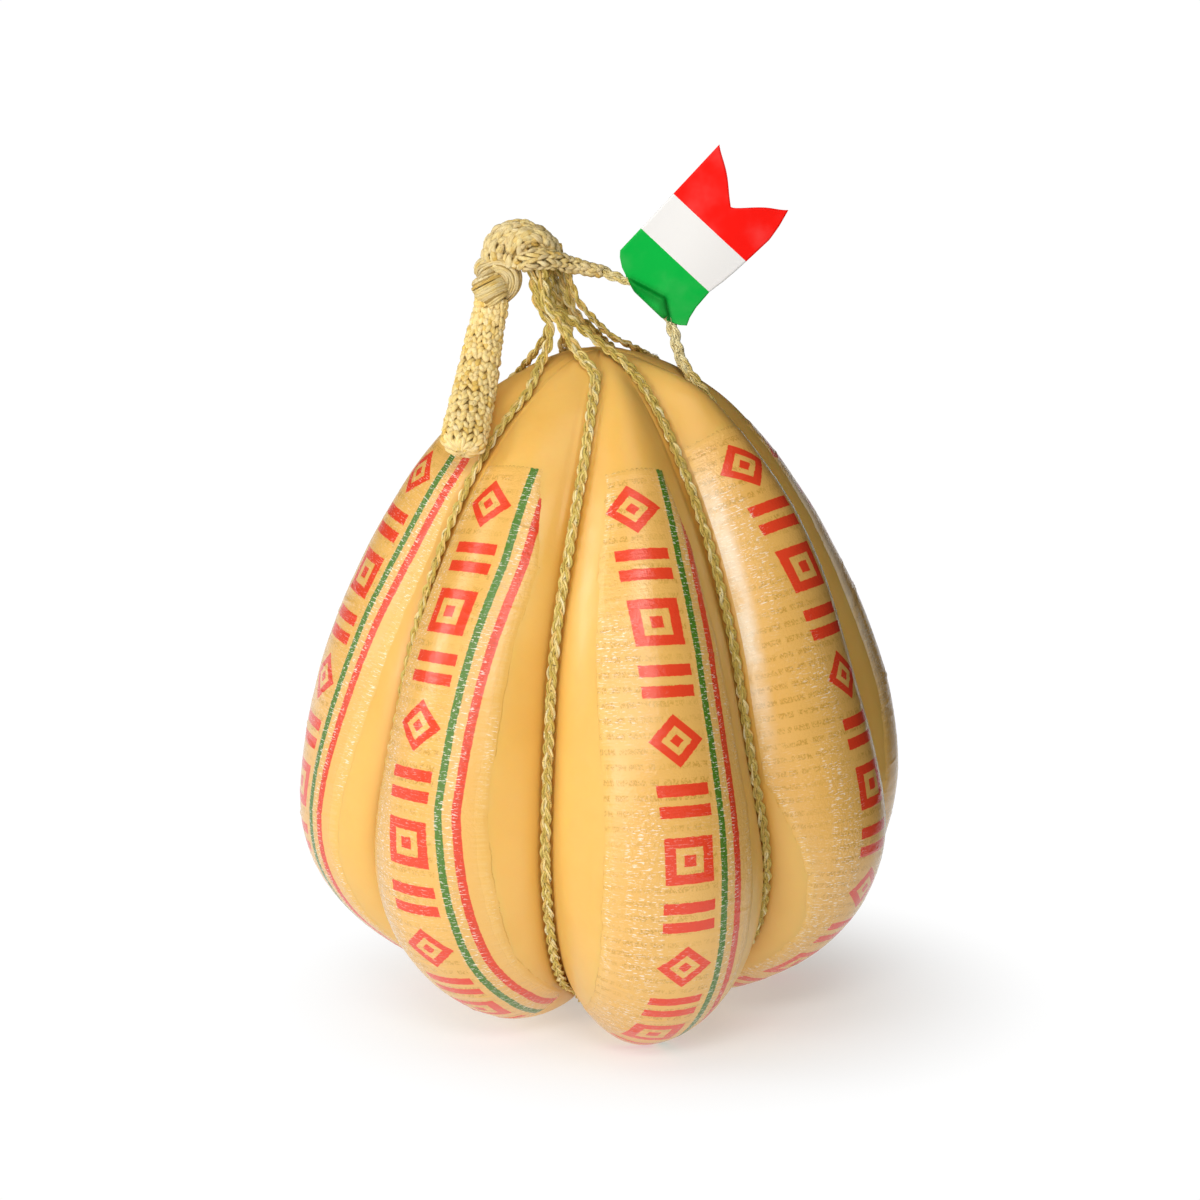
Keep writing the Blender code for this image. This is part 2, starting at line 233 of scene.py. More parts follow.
# %% [markdown]
# ## The shape of the cheese
#
# A provolone of this kind is pear-shaped curd that was tied while it was still soft. Each cord bit into it, and
# the curd between two cords swelled into a lobe. So one formula makes the whole body: a pear's outline, turned
# about the middle, sunk along each cord and full between them. The numbers are those of the measured solid.
# The same formula later lays the film on the lobes and the cords in their grooves, so they fit without gaps.

# %% Numbers of the body
BELLY_RADIUS = 90.4 * MM
BELLY_HEIGHT = 65.6 * MM
TOP_HEIGHT = 199.9 * MM
SHOULDER_POWER, SHOULDER_ROOT = 1.604, 0.534
FOOT_RADIUS = 27.9 * MM
FOOT_FLAT = 1.5 * MM
NAVEL_DEPTH = 12.0 * MM
GROOVE_DEPTH = 14.9 * MM
CROWN_ROUNDNESS, CROWN_SOFTENING, CROWN_SOFT_WAY = 0.736, 0.5, 0.45
CHANNEL_HALF = 2.2 * MM
CHANNEL_ROUND = 0.5 * MM

FLOOR_CLEARANCE = 0.14 * MM
CREST_STEP = 0.004
CHANNEL_SHARE = 0.15

CORD_AZIMUTH = (-55.5, -11.7, 35.9, 80.2, 128.3, 170.0, 208.0, 245.5)
CORD_TOP_DRIFT = (8.3, 9.0, -6.2, -4.8, 3.0, -4.0, 3.0, -2.0)
CORD_FOOT_DRIFT = (-5.4, 0.0, 7.9, 12.0, -3.0, 4.0, -4.0, 3.0)
DRIFT_WAY = 0.4
LOBE_SHOULDER = (-0.6, 1.9, 4.8, 0.5, 0.6, -0.8, 1.2, 0.5)
LOBE_SWELL = (2.4, 5.5, 1.0, 4.0, -1.7, 1.0, -0.6, -0.1)
LOBE_LIFT = (4.4, 0.8, 7.4, -1.0, 1.4, -0.4, -0.2, 7.7)
LOBES = len(CORD_AZIMUTH)

# Parts of the way down: where each starts, how long it eases in, where it ends, how long it eases out.
BELLY = (0.2, 0.34, 1, 0.3)
UNDERSIDE = (0.583, 0.234, 1, 0.1)
SHOULDER = (0.03, 0.1, 0.42, 0.2)
SUNK = (0, 0.52, 1, 0.16)
UNEVEN = (0, 0.05, 1, 0.35)
PLEATED = (0.07, 0.06, 0.36, 0.16)


# %% The pear's outline
def smooth_step(x):
    x = np.clip(x, 0.0, 1.0)
    return x * x * (3 - 2 * x)


def part_of_way(down, start, ease_in, end, ease_out, height=1.0):
    """As high as the height in one part of the way down, and 0 above and below it."""
    return height * smooth_step((down - start) / ease_in) * smooth_step((end - down) / ease_out)


def crest_outline():
    """Share of the way, radius and height along a lobe's crest, from the top to under the middle."""
    upper = 1 - np.linspace(0, 1, 900) ** 2
    turn = np.linspace(0, math.pi / 2, 500)[1:]
    inward = np.linspace(1, 0, 200)[1:]
    radius = np.concatenate([
        BELLY_RADIUS * (1 - upper**SHOULDER_POWER) ** SHOULDER_ROOT,
        FOOT_RADIUS + (BELLY_RADIUS - FOOT_RADIUS) * np.cos(turn),
        FOOT_RADIUS * inward,
    ])
    height = np.concatenate([
        BELLY_HEIGHT + (TOP_HEIGHT - BELLY_HEIGHT) * upper,
        BELLY_HEIGHT - (BELLY_HEIGHT + FOOT_FLAT) * np.sin(turn),
        (NAVEL_DEPTH + FOOT_FLAT) * (1 + np.cos(math.pi * inward)) / 2 - FOOT_FLAT,
    ])
    length = np.concatenate([[0], np.cumsum(np.hypot(np.diff(radius), np.diff(height)))])
    return length / length[-1], radius, height


CREST = crest_outline()
print("crest from top to underside:", len(CREST[0]), "points")


def on_crest(down):
    """Radius, height and the two parts of the outward direction, at a share of the way down."""
    share, radius, height = CREST
    ahead, behind = np.minimum(down + CREST_STEP, 1.0), np.maximum(down - CREST_STEP, 0.0)
    dr = np.interp(ahead, share, radius) - np.interp(behind, share, radius)
    dz = np.interp(ahead, share, height) - np.interp(behind, share, height)
    size = np.hypot(dr, dz)
    return np.interp(down, share, radius), np.interp(down, share, height), -dz / size, dr / size


def cord_azimuth(cord, down):
    """The direction of a groove from the middle. Near its top and its foot it drifts to one side."""
    turns, cord = divmod(cord, LOBES)
    top = CORD_TOP_DRIFT[cord] * (1 - smooth_step(down / DRIFT_WAY))
    foot = CORD_FOOT_DRIFT[cord] * smooth_step((down - DRIFT_WAY) / DRIFT_WAY)
    return np.radians(CORD_AZIMUTH[cord] + top + foot + 360 * turns)


def crown(down, q):
    """0 at a lobe's two sides and 1 on its crest. The shoulders are softer than the belly."""
    roundness = CROWN_ROUNDNESS + CROWN_SOFTENING * (1 - smooth_step(down / CROWN_SOFT_WAY))
    return np.sin(math.pi * q) ** roundness


# %% [markdown]
# ### A hand-made unevenness
#
# No two lobes are alike, and none is smooth as turned wood. Long soft swellings, small dents and, high on the
# shoulder, a few pleats beside each cord show where the warm curd was drawn up. They come from Blender's own
# noise, read at the point of the surface itself, so that neighbouring pieces share them.


# %% The wax surface
SWELLING, SWELLING_SIZE = 0.70, 46 * MM
DENT, DENT_SIZE = 0.20, 15 * MM
PLEAT, PLEAT_TURNS, PLEAT_REACH = 0.14, 62.0, 0.10


def waves(points, size, seed):
    """Noise of about plus or minus 1 at each point, with swellings of that size."""
    shift = Vector((seed * 7.3, seed * 3.1, seed * 5.7))
    values = [noise.noise(Vector(p) / size + shift) for p in points.reshape(-1, 3)]
    return np.array(values).reshape(points.shape[:-1])


def wax(lobe, down, across, lift=0.0):
    """Points of the wax: a share of the way down, and a share of the way across one lobe.

    From 0 to 1 across is the lobe itself. -1 and 2 are the middles of the grooves at its sides.
    """
    down, across = np.broadcast_arrays(np.asarray(down, float), np.asarray(across, float))
    radius, height, out, up = on_crest(down)
    start, end = cord_azimuth(lobe, down), cord_azimuth(lobe + 1, down)
    channel = np.minimum(CHANNEL_HALF / np.maximum(radius, MM), CHANNEL_SHARE * (end - start))
    q = np.clip(across, 0.0, 1.0)
    beside = np.clip(-across, 0.0, 1.0) + np.clip(across - 1.0, 0.0, 1.0)
    side = np.where(across > 0.5, 1.0, -1.0)
    azimuth = start + channel + q * (end - start - 2 * channel) + side * beside * channel
    turn = np.stack([np.sin(azimuth), -np.cos(azimuth)], -1)

    full = crown(down, q)
    mine = lobe % LOBES
    swell = LOBE_SWELL[mine] * part_of_way(down, *BELLY) - LOBE_LIFT[mine] * part_of_way(down, *UNDERSIDE)
    swell = swell + LOBE_SHOULDER[mine] * part_of_way(down, *SHOULDER)
    offset = full * swell * MM - (1 - full) * part_of_way(down, *SUNK, GROOVE_DEPTH)
    offset = offset - CHANNEL_ROUND * (1 - (1 - beside) ** 2) * smooth_step((1 - down) / 0.1)

    def raised(by):
        flat = turn * (radius + by * out)[..., None]
        return np.concatenate([flat, (height + by * up)[..., None]], -1)

    calm = raised(offset)
    rough = SWELLING * waves(calm, SWELLING_SIZE, 1) + DENT * waves(calm, DENT_SIZE, 2)
    to_cord = np.minimum(q, 1 - q)
    pleat = PLEAT * np.sin(to_cord * PLEAT_TURNS + 9 * lobe) * np.exp(-to_cord / PLEAT_REACH)
    pleat = pleat * part_of_way(down, *PLEATED) * (1 - beside)
    return raised(offset + part_of_way(down, *UNEVEN) * (rough + pleat) * MM + lift)


# %% [markdown]
# ### The body
#
# By hand it would be a ball, scaled to a pear and pressed in with a crease brush. In a script the ball's rings
# and columns are moved to the formula. The columns crowd together beside each cord, where the wax turns
# sharply, and are wide apart on the crowns, where it is nearly flat.

# %% Make the body
BODY_RINGS = 170
LOBE_COLUMNS = 34
GROOVE_COLUMNS = (-1.0, -0.5)
# How far from a cord the painted shade of the groove reaches.
GROOVE_SHADE_REACH = 2.5 * MM

crowded = (1 - np.cos(np.linspace(0, math.pi, LOBE_COLUMNS + 1))) / 2
lobe_across = np.concatenate([GROOVE_COLUMNS, crowded, [1.5]])
columns = LOBES * len(lobe_across)


def shade_smooth(piece):
    piece.data.polygons.foreach_set("use_smooth", [True] * len(piece.data.polygons))


def store(piece, name, values):
    """Keep a number or a vector on each point of a mesh, for its finish to read."""
    values = np.asarray(values, np.float32)
    kind, key = ("FLOAT", "value") if values.ndim == 1 else ("FLOAT_VECTOR", "vector")
    made = piece.data.attributes.new(name, kind, "POINT")
    made.data.foreach_set(key, values.ravel())


bpy.ops.object.select_all(action="DESELECT")
bpy.ops.mesh.primitive_uv_sphere_add(segments=columns, ring_count=BODY_RINGS, radius=1)
body = bpy.context.object
body.name = "wax_body"
ball = np.zeros(len(body.data.vertices) * 3)
body.data.vertices.foreach_get("co", ball)
ball = ball.reshape(-1, 3)
ring = np.rint(np.arccos(np.clip(ball[:, 2], -1, 1)) / math.pi * BODY_RINGS).astype(int)
column = np.rint(np.arctan2(ball[:, 0], -ball[:, 1]) / (2 * math.pi) * columns).astype(int) % columns
body_points = np.zeros_like(ball)
groove_shade_amount = np.zeros(len(ball))
for lobe in range(LOBES):
    lobe_grid = wax(lobe, np.arange(BODY_RINGS + 1)[:, None] / BODY_RINGS, lobe_across[None, :])
    steps = np.linalg.norm(np.diff(lobe_grid[:, len(GROOVE_COLUMNS):-1], axis=1), axis=2)
    from_left = np.pad(np.cumsum(steps, axis=1), ((0, 0), (1, 0)))
    from_side = np.minimum(from_left, from_left[:, -1:] - from_left)
    from_side = np.pad(from_side, ((0, 0), (len(GROOVE_COLUMNS), 1)))
    mine = column // len(lobe_across) == lobe
    place = column[mine] % len(lobe_across)
    body_points[mine] = lobe_grid[ring[mine], place]
    # Painted shade: how near each point is to a cord, which darkens the wax's colour there. It fades out near the
    # top.
    off_the_top = smooth_step((ring[mine] / BODY_RINGS - 0.05) / 0.22)
    groove_shade_amount[mine] = np.exp(-from_side[ring[mine], place] / GROOVE_SHADE_REACH) * off_the_top
body_points[:, 2] = np.maximum(body_points[:, 2], FLOOR_CLEARANCE)
body.data.vertices.foreach_set("co", body_points.ravel())
store(body, "groove", groove_shade_amount)
body.data.update()
shade_smooth(body)
print("body:", len(body.data.polygons), "faces")

# %% [markdown]
# ### Wax over cheese
#
# The rind is butter-gold under a thin wax. Light goes a little way in and comes out warmer, which subsurface
# scattering does. Beside each cord the colour is painted darker and more orange, as painted shade of the groove,
# so the body's mesh stores how near each point is to a cord. The wax is faintly mottled, and its gloss is broken
# by fine ripples.

# %% The wax finish
WAX_LIGHT = (0.825, 0.490, 0.118)
WAX_DEEP = (0.780, 0.425, 0.080)
WAX_PALE = (0.835, 0.518, 0.150)
# The colour of the painted shade in the grooves, darker and more orange than the wax.
WAX_GROOVE_SHADE = (0.62, 0.27, 0.035)
WAX_GLOSS = (0.30, 0.44)
SCATTER_SPLIT, SCATTER_REACH = (1.0, 0.45, 0.16), 5 * MM


def from_mesh(tree, name, output="Vector"):
    """What the points of a mesh store under a name."""
    return add_node(tree, "ShaderNodeAttribute", attribute_name=name).outputs[output]


def noise_at(tree, place, scale, detail=2.0, roughness=0.5, stretch=None):
    """A noise texture's value, with swellings of about 1 / scale metres."""
    if stretch:
        place = add_node(tree, "ShaderNodeMapping", {"Vector": place, "Scale": stretch}).outputs[0]
    inputs = {"Vector": place, "Scale": scale, "Detail": detail, "Roughness": roughness}
    return add_node(tree, "ShaderNodeTexNoise", inputs).outputs["Fac"]


def relief(tree, height, distance, strength=1.0, normal=None):
    """A bumped surface, over the one before it if there is one."""
    inputs = {"Height": height, "Distance": distance, "Strength": strength}
    if normal:
        inputs["Normal"] = normal
    return add_node(tree, "ShaderNodeBump", inputs).outputs[0]


def wax_colour(tree, place):
    """The mottled gold of the wax, before the painted shade of the grooves deepens it."""
    mottle = rescale(tree, noise_at(tree, place, 38, 3, 0.55), 0.35, 0.7)
    patches = rescale(tree, noise_at(tree, place, 9, 2, 0.5), 0.38, 0.66)
    warm = blend(tree, times(tree, mottle, 0.55), WAX_LIGHT, WAX_DEEP)
    return blend(tree, times(tree, patches, 0.30), warm, WAX_PALE)


wax_finish, tree, shader = new_material("wax")
place = object_place(tree)
groove = from_mesh(tree, "groove", "Fac")
# Painted shade: near each cord the colour goes towards the groove's darker orange.
shaded_by_groove = rescale(tree, groove, 0.05, 1.0, smooth=False)
near_cord = rescale(tree, groove, 0.05, 0.6, 0.3, 1.0)
bumps = relief(tree, noise_at(tree, place, 120, 2, 0.5), 0.35 * MM, 0.5)
ripples = noise_at(tree, place, 620, 3, 0.6)
set_inputs(tree, shader, {
    "Base Color": blend(tree, times(tree, shaded_by_groove, 0.85), wax_colour(tree, place), WAX_GROOVE_SHADE),
    "Roughness": rescale(tree, noise_at(tree, place, 70, 3), 0.3, 0.7, *WAX_GLOSS),
    "Normal": relief(tree, times(tree, ripples, near_cord), 0.12 * MM, 0.5, bumps),
    "Subsurface Weight": 0.30,
    "Subsurface Radius": SCATTER_SPLIT,
    "Subsurface Scale": SCATTER_REACH,
    "Specular IOR Level": 0.48,
})
body.data.materials.append(wax_finish)
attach(body, "root")
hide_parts("cheese")

# %% [markdown]
# ## The film strips
#
# Each lobe carries a strip of clear printed film, stuck to the wax along one side of the lobe. The strip is one
# flat band that has to follow a lobe curved two ways, so its sides gather into fine cross pleats and a few sharp
# creases. It is a grid laid on the wax formula: its rows are close together, because the wrinkles run across.
# Where the strip narrows at the top, its edge cuts the red stripe to a point. Each lobe's strip has its own
# course, so the places of its green stripe and of its two sides stand in tables, from its top to its foot.

# %% Places of the strips
STRIP_DOWN = (0.15, 0.20, 0.28, 0.36, 0.44, 0.52, 0.60, 0.68, 0.76, 0.84)
STRIP_TOP = (0.183, 0.187, 0.160, 0.165, 0.180, 0.172, 0.190, 0.175)
STRIP_FOOT = 0.84
GREEN_ACROSS = (
    (0.632, 0.644, 0.664, 0.629, 0.603, 0.592, 0.640, 0.688, 0.763, 0.800),
    (0.735, 0.705, 0.688, 0.700, 0.700, 0.692, 0.667, 0.651, 0.620, 0.600),
    (0.670, 0.665, 0.665, 0.690, 0.720, 0.695, 0.640, 0.620, 0.570, 0.530),
    (0.720, 0.710, 0.700, 0.690, 0.680, 0.660, 0.650, 0.640, 0.630, 0.620),
    (0.690, 0.690, 0.700, 0.710, 0.700, 0.680, 0.660, 0.650, 0.650, 0.640),
    (0.700, 0.690, 0.660, 0.640, 0.640, 0.650, 0.670, 0.680, 0.690, 0.700),
    (0.680, 0.700, 0.720, 0.720, 0.700, 0.680, 0.650, 0.630, 0.620, 0.620),
    (0.790, 0.808, 0.803, 0.768, 0.738, 0.700, 0.675, 0.640, 0.620, 0.610),
)
STRIP_LEFT = (
    (-17, -21, -31, -37, -42, -44, -46, -46, -44, -40),
    (-16, -17.5, -24.5, -30.7, -33.5, -35.4, -37, -36, -33, -30),
    (-24, -33, -46, -54, -56, -46, -37, -29, -25, -23),
    (-16, -19, -25, -30, -33, -34, -34, -32, -29, -26),
    (-15, -18, -24, -28, -30, -31, -31, -29, -26, -24),
    (-15, -19, -25, -30, -33, -34, -34, -32, -29, -26),
    (-16, -19, -25, -29, -31, -32, -31, -29, -27, -24),
    (-14, -18, -24, -28, -30, -31, -31, -30, -28, -26),
)
STRIP_RIGHT_PLAIN = (1.0, 2.6, 8.0, 11.0, 13.0, 14.0, 13.5, 12.0, 11.0, 10.0)
STRIP_RIGHT = (
    (1.2, 3.6, 10.2, 11.6, 13.6, 14.6, 14.5, 13.0, 12.0, 11.0),
    (1.0, 2.6, 7.6, 10.0, 12.4, 13.8, 13.5, 12.0, 11.0, 10.0),
    (6.0, 7.0, 9.0, 11.0, 13.0, 14.0, 13.5, 12.0, 11.0, 10.0),
    STRIP_RIGHT_PLAIN,
    STRIP_RIGHT_PLAIN,
    STRIP_RIGHT_PLAIN,
    STRIP_RIGHT_PLAIN,
    (5.0, 8.2, 11.5, 13.5, 14.5, 15.0, 14.0, 12.5, 11.0, 10.0),
)
STRIP_ROWS = 430
STRIP_SHARES = np.concatenate([[0, 0.007, 0.018], np.linspace(0.045, 0.955, 24), [0.982, 0.993, 1.0]])
FILM_LIFT = 0.15 * MM
FILM_THICKNESS = 0.09 * MM
FILM_CLEARANCE = 0.02 * MM
RIM_LIFT, RIM_WIDTH = -0.02 * MM, 2.4 * MM
EDGE_WOBBLE, EDGE_SCALLOP = 60, 420
SIDE_LIMITS = (0.02, 0.975)
CREASES = 60
CREASE_PLACES = ((-30, -17), (-17, -3), (0, 10))
CREASE_REACH, CREASE_WIDTH, CREASE_SLANT, CREASE_HEIGHT = (2.0, 7.0), (0.28, 0.5), 0.16, (0.10, 0.30)
GATHER_HEIGHT, GATHER_SIZE = 0.05 * MM, 3.2 * MM


# %% Make the strips
def lobe_widths(lobe, down, samples=41):
    """For each place down a lobe: shares across it, and their distance from its left side along the wax."""
    across = np.linspace(0, 1, samples)
    rows = wax(lobe, down[:, None], across[None, :])
    steps = np.linalg.norm(np.diff(rows, axis=1), axis=2)
    return across, np.concatenate([np.zeros((len(down), 1)), np.cumsum(steps, axis=1)], axis=1)


def lengths_along(points):
    """How far each point of a line is from its first, along the line."""
    return np.concatenate([[0], np.cumsum(np.linalg.norm(np.diff(points, axis=0), axis=1))])


def noise_along(places, y, z):
    return np.array([noise.noise(Vector((place, y, z))) for place in places])


def grid_normals(points):
    normal = np.cross(np.gradient(points, axis=0), np.gradient(points, axis=1))
    return normal / np.linalg.norm(normal, axis=2, keepdims=True)


def creases(down_mm, from_green, seed):
    """Height of the sharp creases that run in from a strip's sides."""
    draw = np.random.default_rng(seed)
    height = np.zeros_like(from_green)
    for _ in range(CREASES):
        at = draw.uniform(6, down_mm.max() - 4)
        middle = draw.choice([draw.uniform(*place) for place in CREASE_PLACES])
        reach = draw.uniform(*CREASE_REACH)
        width = draw.uniform(*CREASE_WIDTH)
        slant = draw.normal(0, CREASE_SLANT)
        distance = (down_mm - at - slant * (from_green - middle)) / width
        fade = np.exp(-(((from_green - middle) / reach) ** 2))
        height += draw.uniform(*CREASE_HEIGHT) * np.exp(-(distance**2)) * fade
    return height * MM


def grid_faces(rows, columns):
    corner = np.arange((rows - 1) * columns).reshape(rows - 1, columns)[:, :-1].ravel()
    return np.stack([corner, corner + columns, corner + columns + 1, corner + 1], -1)


def mesh_piece(name, points, faces, material):
    data = bpy.data.meshes.new(name)
    data.from_pydata([tuple(p) for p in points], [], [tuple(int(i) for i in f) for f in faces])
    data.validate()
    piece = bpy.data.objects.new(name, data)
    bpy.context.scene.collection.objects.link(piece)
    data.materials.append(material)
    shade_smooth(piece)
    return piece


def thicken(piece, thickness, offset):
    """Give a sheet its thickness."""
    bpy.context.view_layer.objects.active = piece
    skin = piece.modifiers.new("thickness", "SOLIDIFY")
    skin.thickness = thickness
    skin.offset = offset
    bpy.ops.object.modifier_apply(modifier=skin.name)


def film_strip(lobe, material):
    """One strip. Its sides are measured from the middle of its green stripe, along the wax."""
    down = np.linspace(STRIP_TOP[lobe], STRIP_FOOT, STRIP_ROWS)
    across, widths = lobe_widths(lobe, down)
    green_across = np.interp(down, STRIP_DOWN, GREEN_ACROSS[lobe])
    green = np.array([np.interp(share, across, width) for share, width in zip(green_across, widths)])
    wobble = noise_along(down * EDGE_WOBBLE, lobe * 3.7, 0)
    scallop = noise_along(down * EDGE_SCALLOP, lobe * 1.9, 4)
    left = green + np.interp(down, STRIP_DOWN, STRIP_LEFT[lobe]) * MM + (wobble * 0.5 + scallop * 0.35) * MM
    right = green + np.interp(down, STRIP_DOWN, STRIP_RIGHT[lobe]) * MM - (wobble * 0.4 + scallop * 0.30) * MM
    left = np.clip(left, widths[:, -1] * SIDE_LIMITS[0], None)
    right = np.clip(right, None, widths[:, -1] * SIDE_LIMITS[1])
    distance = left[:, None] + (right - left)[:, None] * STRIP_SHARES[None, :]
    places = np.array([np.interp(row, width, across) for row, width in zip(distance, widths)])
    base = wax(lobe, down[:, None], places)

    down_mm = lengths_along(base[:, len(STRIP_SHARES) // 2])[:, None] / MM + np.zeros_like(distance)
    from_green = (distance - green[:, None]) / MM
    from_side = np.minimum(distance - left[:, None], right[:, None] - distance)
    from_rim = np.minimum(from_side, np.minimum(down_mm, down_mm.max() - down_mm) * MM)
    height = FILM_LIFT + creases(down_mm, from_green, 40 + lobe)
    height += GATHER_HEIGHT * (1 + waves(base * np.array([1, 1, 4.0]), GATHER_SIZE, 5 + lobe))
    height = RIM_LIFT + (height - RIM_LIFT) * smooth_step(from_rim / RIM_WIDTH)
    points = base + grid_normals(base) * height[..., None]
    points[..., 2] = np.maximum(points[..., 2], FILM_CLEARANCE)
    strip = mesh_piece(f"film_strip_{lobe + 1}", points.reshape(-1, 3), grid_faces(*distance.shape), material)
    store(strip, "print", np.stack([from_green, down_mm, from_side / MM], -1).reshape(-1, 3))
    thicken(strip, FILM_THICKNESS, -1.0)
    return strip


# %% [markdown]
# ### The film's print
#
# The print follows the strip, not the room, so the material reads three lengths that were stored on the mesh:
# millimetres from the middle of the green stripe, millimetres down from the top of the strip, and millimetres
# from its nearer side. The pattern is plain geometry: a green and a red stripe, a column of red lozenges, squares
# and paired bars, and rows of ochre dashes. It would be printed on the flat film before the film is laid on.

# %% The print
GREEN_HALF, RED_HALF, RED_FROM_GREEN, INK_EDGE = 1.15, 1.35, 5.4, 0.12
MOTIF_FROM_GREEN = -11.2
MOTIF_PITCH = 34.0
MOTIF_START = 13.0
MOTIF_HALF_WIDTH, MOTIF_HALF_HEIGHT, SQUARE_SHARE = 8.2, 7.6, 1.12
MOTIF_RING, MOTIF_HEART = (0.56, 1.0), (0.27, 0.23)
BAR_FROM, BAR_TO, BAR_HALF_WIDTH = 1.3, 4.7, (7.9, 7.7)
TEXT_ROW = 2.2


def most_of(tree, result, *others):
    """The largest of several values."""
    for value in others:
        result = calculate(tree, "MAXIMUM", result, value)
    return result


def size_of(tree, value, less=0.0):
    """How far a value is from another, whichever is larger."""
    if less:
        value = calculate(tree, "SUBTRACT", value, less)
    return calculate(tree, "ABSOLUTE", value)


def inside(tree, value, low, high, soft):
    """1 where a value lies between two limits, with a soft edge."""
    return times(tree, rescale(tree, value, low - soft, low + soft), rescale(tree, value, high + soft, high - soft))


def red_column(tree, x, down):
    """The column of lozenges, squares and paired bars: 1 where it is red."""
    beside = size_of(tree, x, MOTIF_FROM_GREEN)
    first = calculate(tree, "SUBTRACT", down, MOTIF_START)
    step = calculate(tree, "WRAP", first, MOTIF_PITCH * 0.75, -MOTIF_PITCH * 0.25)
    double = calculate(tree, "WRAP", first, MOTIF_PITCH * 1.75, -MOTIF_PITCH * 0.25)
    second_kind = calculate(tree, "GREATER_THAN", double, MOTIF_PITCH * 0.75)
    across = calculate(tree, "DIVIDE", beside, MOTIF_HALF_WIDTH)
    along = calculate(tree, "DIVIDE", size_of(tree, step), MOTIF_HALF_HEIGHT)
    lozenge = calculate(tree, "ADD", across, along)
    square = times(tree, most_of(tree, across, along), SQUARE_SHARE)
    either = {"Factor": second_kind, 2: lozenge, 3: square}
    figure = add_node(tree, "ShaderNodeMix", either, data_type="FLOAT").outputs[0]
    bar_down = size_of(tree, step, MOTIF_PITCH * 0.5)
    bars = times(tree, inside(tree, bar_down, BAR_FROM, BAR_TO, 0.1), rescale(tree, beside, *BAR_HALF_WIDTH))
    motif = most_of(tree, inside(tree, figure, *MOTIF_RING, 0.02), rescale(tree, figure, *MOTIF_HEART), bars)
    return times(tree, motif, rescale(tree, down, 4.5, 5.0))


def ochre_rows(tree, stored, x, down):
    """Rows of faint dashes, broken as small type would be, but with no type in them."""
    row = size_of(tree, calculate(tree, "WRAP", down, TEXT_ROW, -TEXT_ROW))
    dashes = rescale(tree, noise_at(tree, stored, 1.0, 1.0, stretch=(0.55, 0.2273, 0.0)), 0.42, 0.48)
    grain = rescale(tree, noise_at(tree, stored, 1.3, 2.0, 0.7, stretch=(1.5, 1.0, 0.0)), 0.42, 0.56)
    kept = rescale(tree, noise_at(tree, stored, 1.0, 1.0, stretch=(0.05, 0.04, 0.0)), 0.40, 0.60, 0.35, 1.0)
    return times(tree, rescale(tree, row, 1.0, 0.75), dashes, grain, kept, rescale(tree, x, -2.2, -2.8))


# %% [markdown]
# ### The film's finish
#
# The film makes the wax under it look a little deeper in colour, and it is glossier. Both fade out at its rim,
# where it hugs the wax. Its creases run square to the stripes. Where it is gathered, most of all between the two
# stripes and along its sides, short white glints are painted on it as painted highlights, and over the stripes
# painted shade across its creases darkens the film and breaks the ink. Along the left flank of the lobe right of
# centre a pale band is painted on the film, as a painted sheen.

# %% The film's finish
PRINT_RED = (0.79, 0.040, 0.016)
PRINT_GREEN = (0.036, 0.195, 0.012)
PRINT_OCHRE = (0.50, 0.255, 0.030)
# Painted shade on the creases, on the film and on the ink.
FOLD_SHADE = (0.62, 0.42, 0.19)
INK_SHADE = (0.16, 0.05, 0.02)
FILM_TINT = (0.80, 0.43, 0.13)
PLEAT_PALE = (0.88, 0.64, 0.32)
# The colour of the painted highlights: the glints and the sheen band.
GLINT = (1.0, 0.92, 0.78)
FILM_GLOSS, RIM_DULL = (0.12, 0.22), 0.20


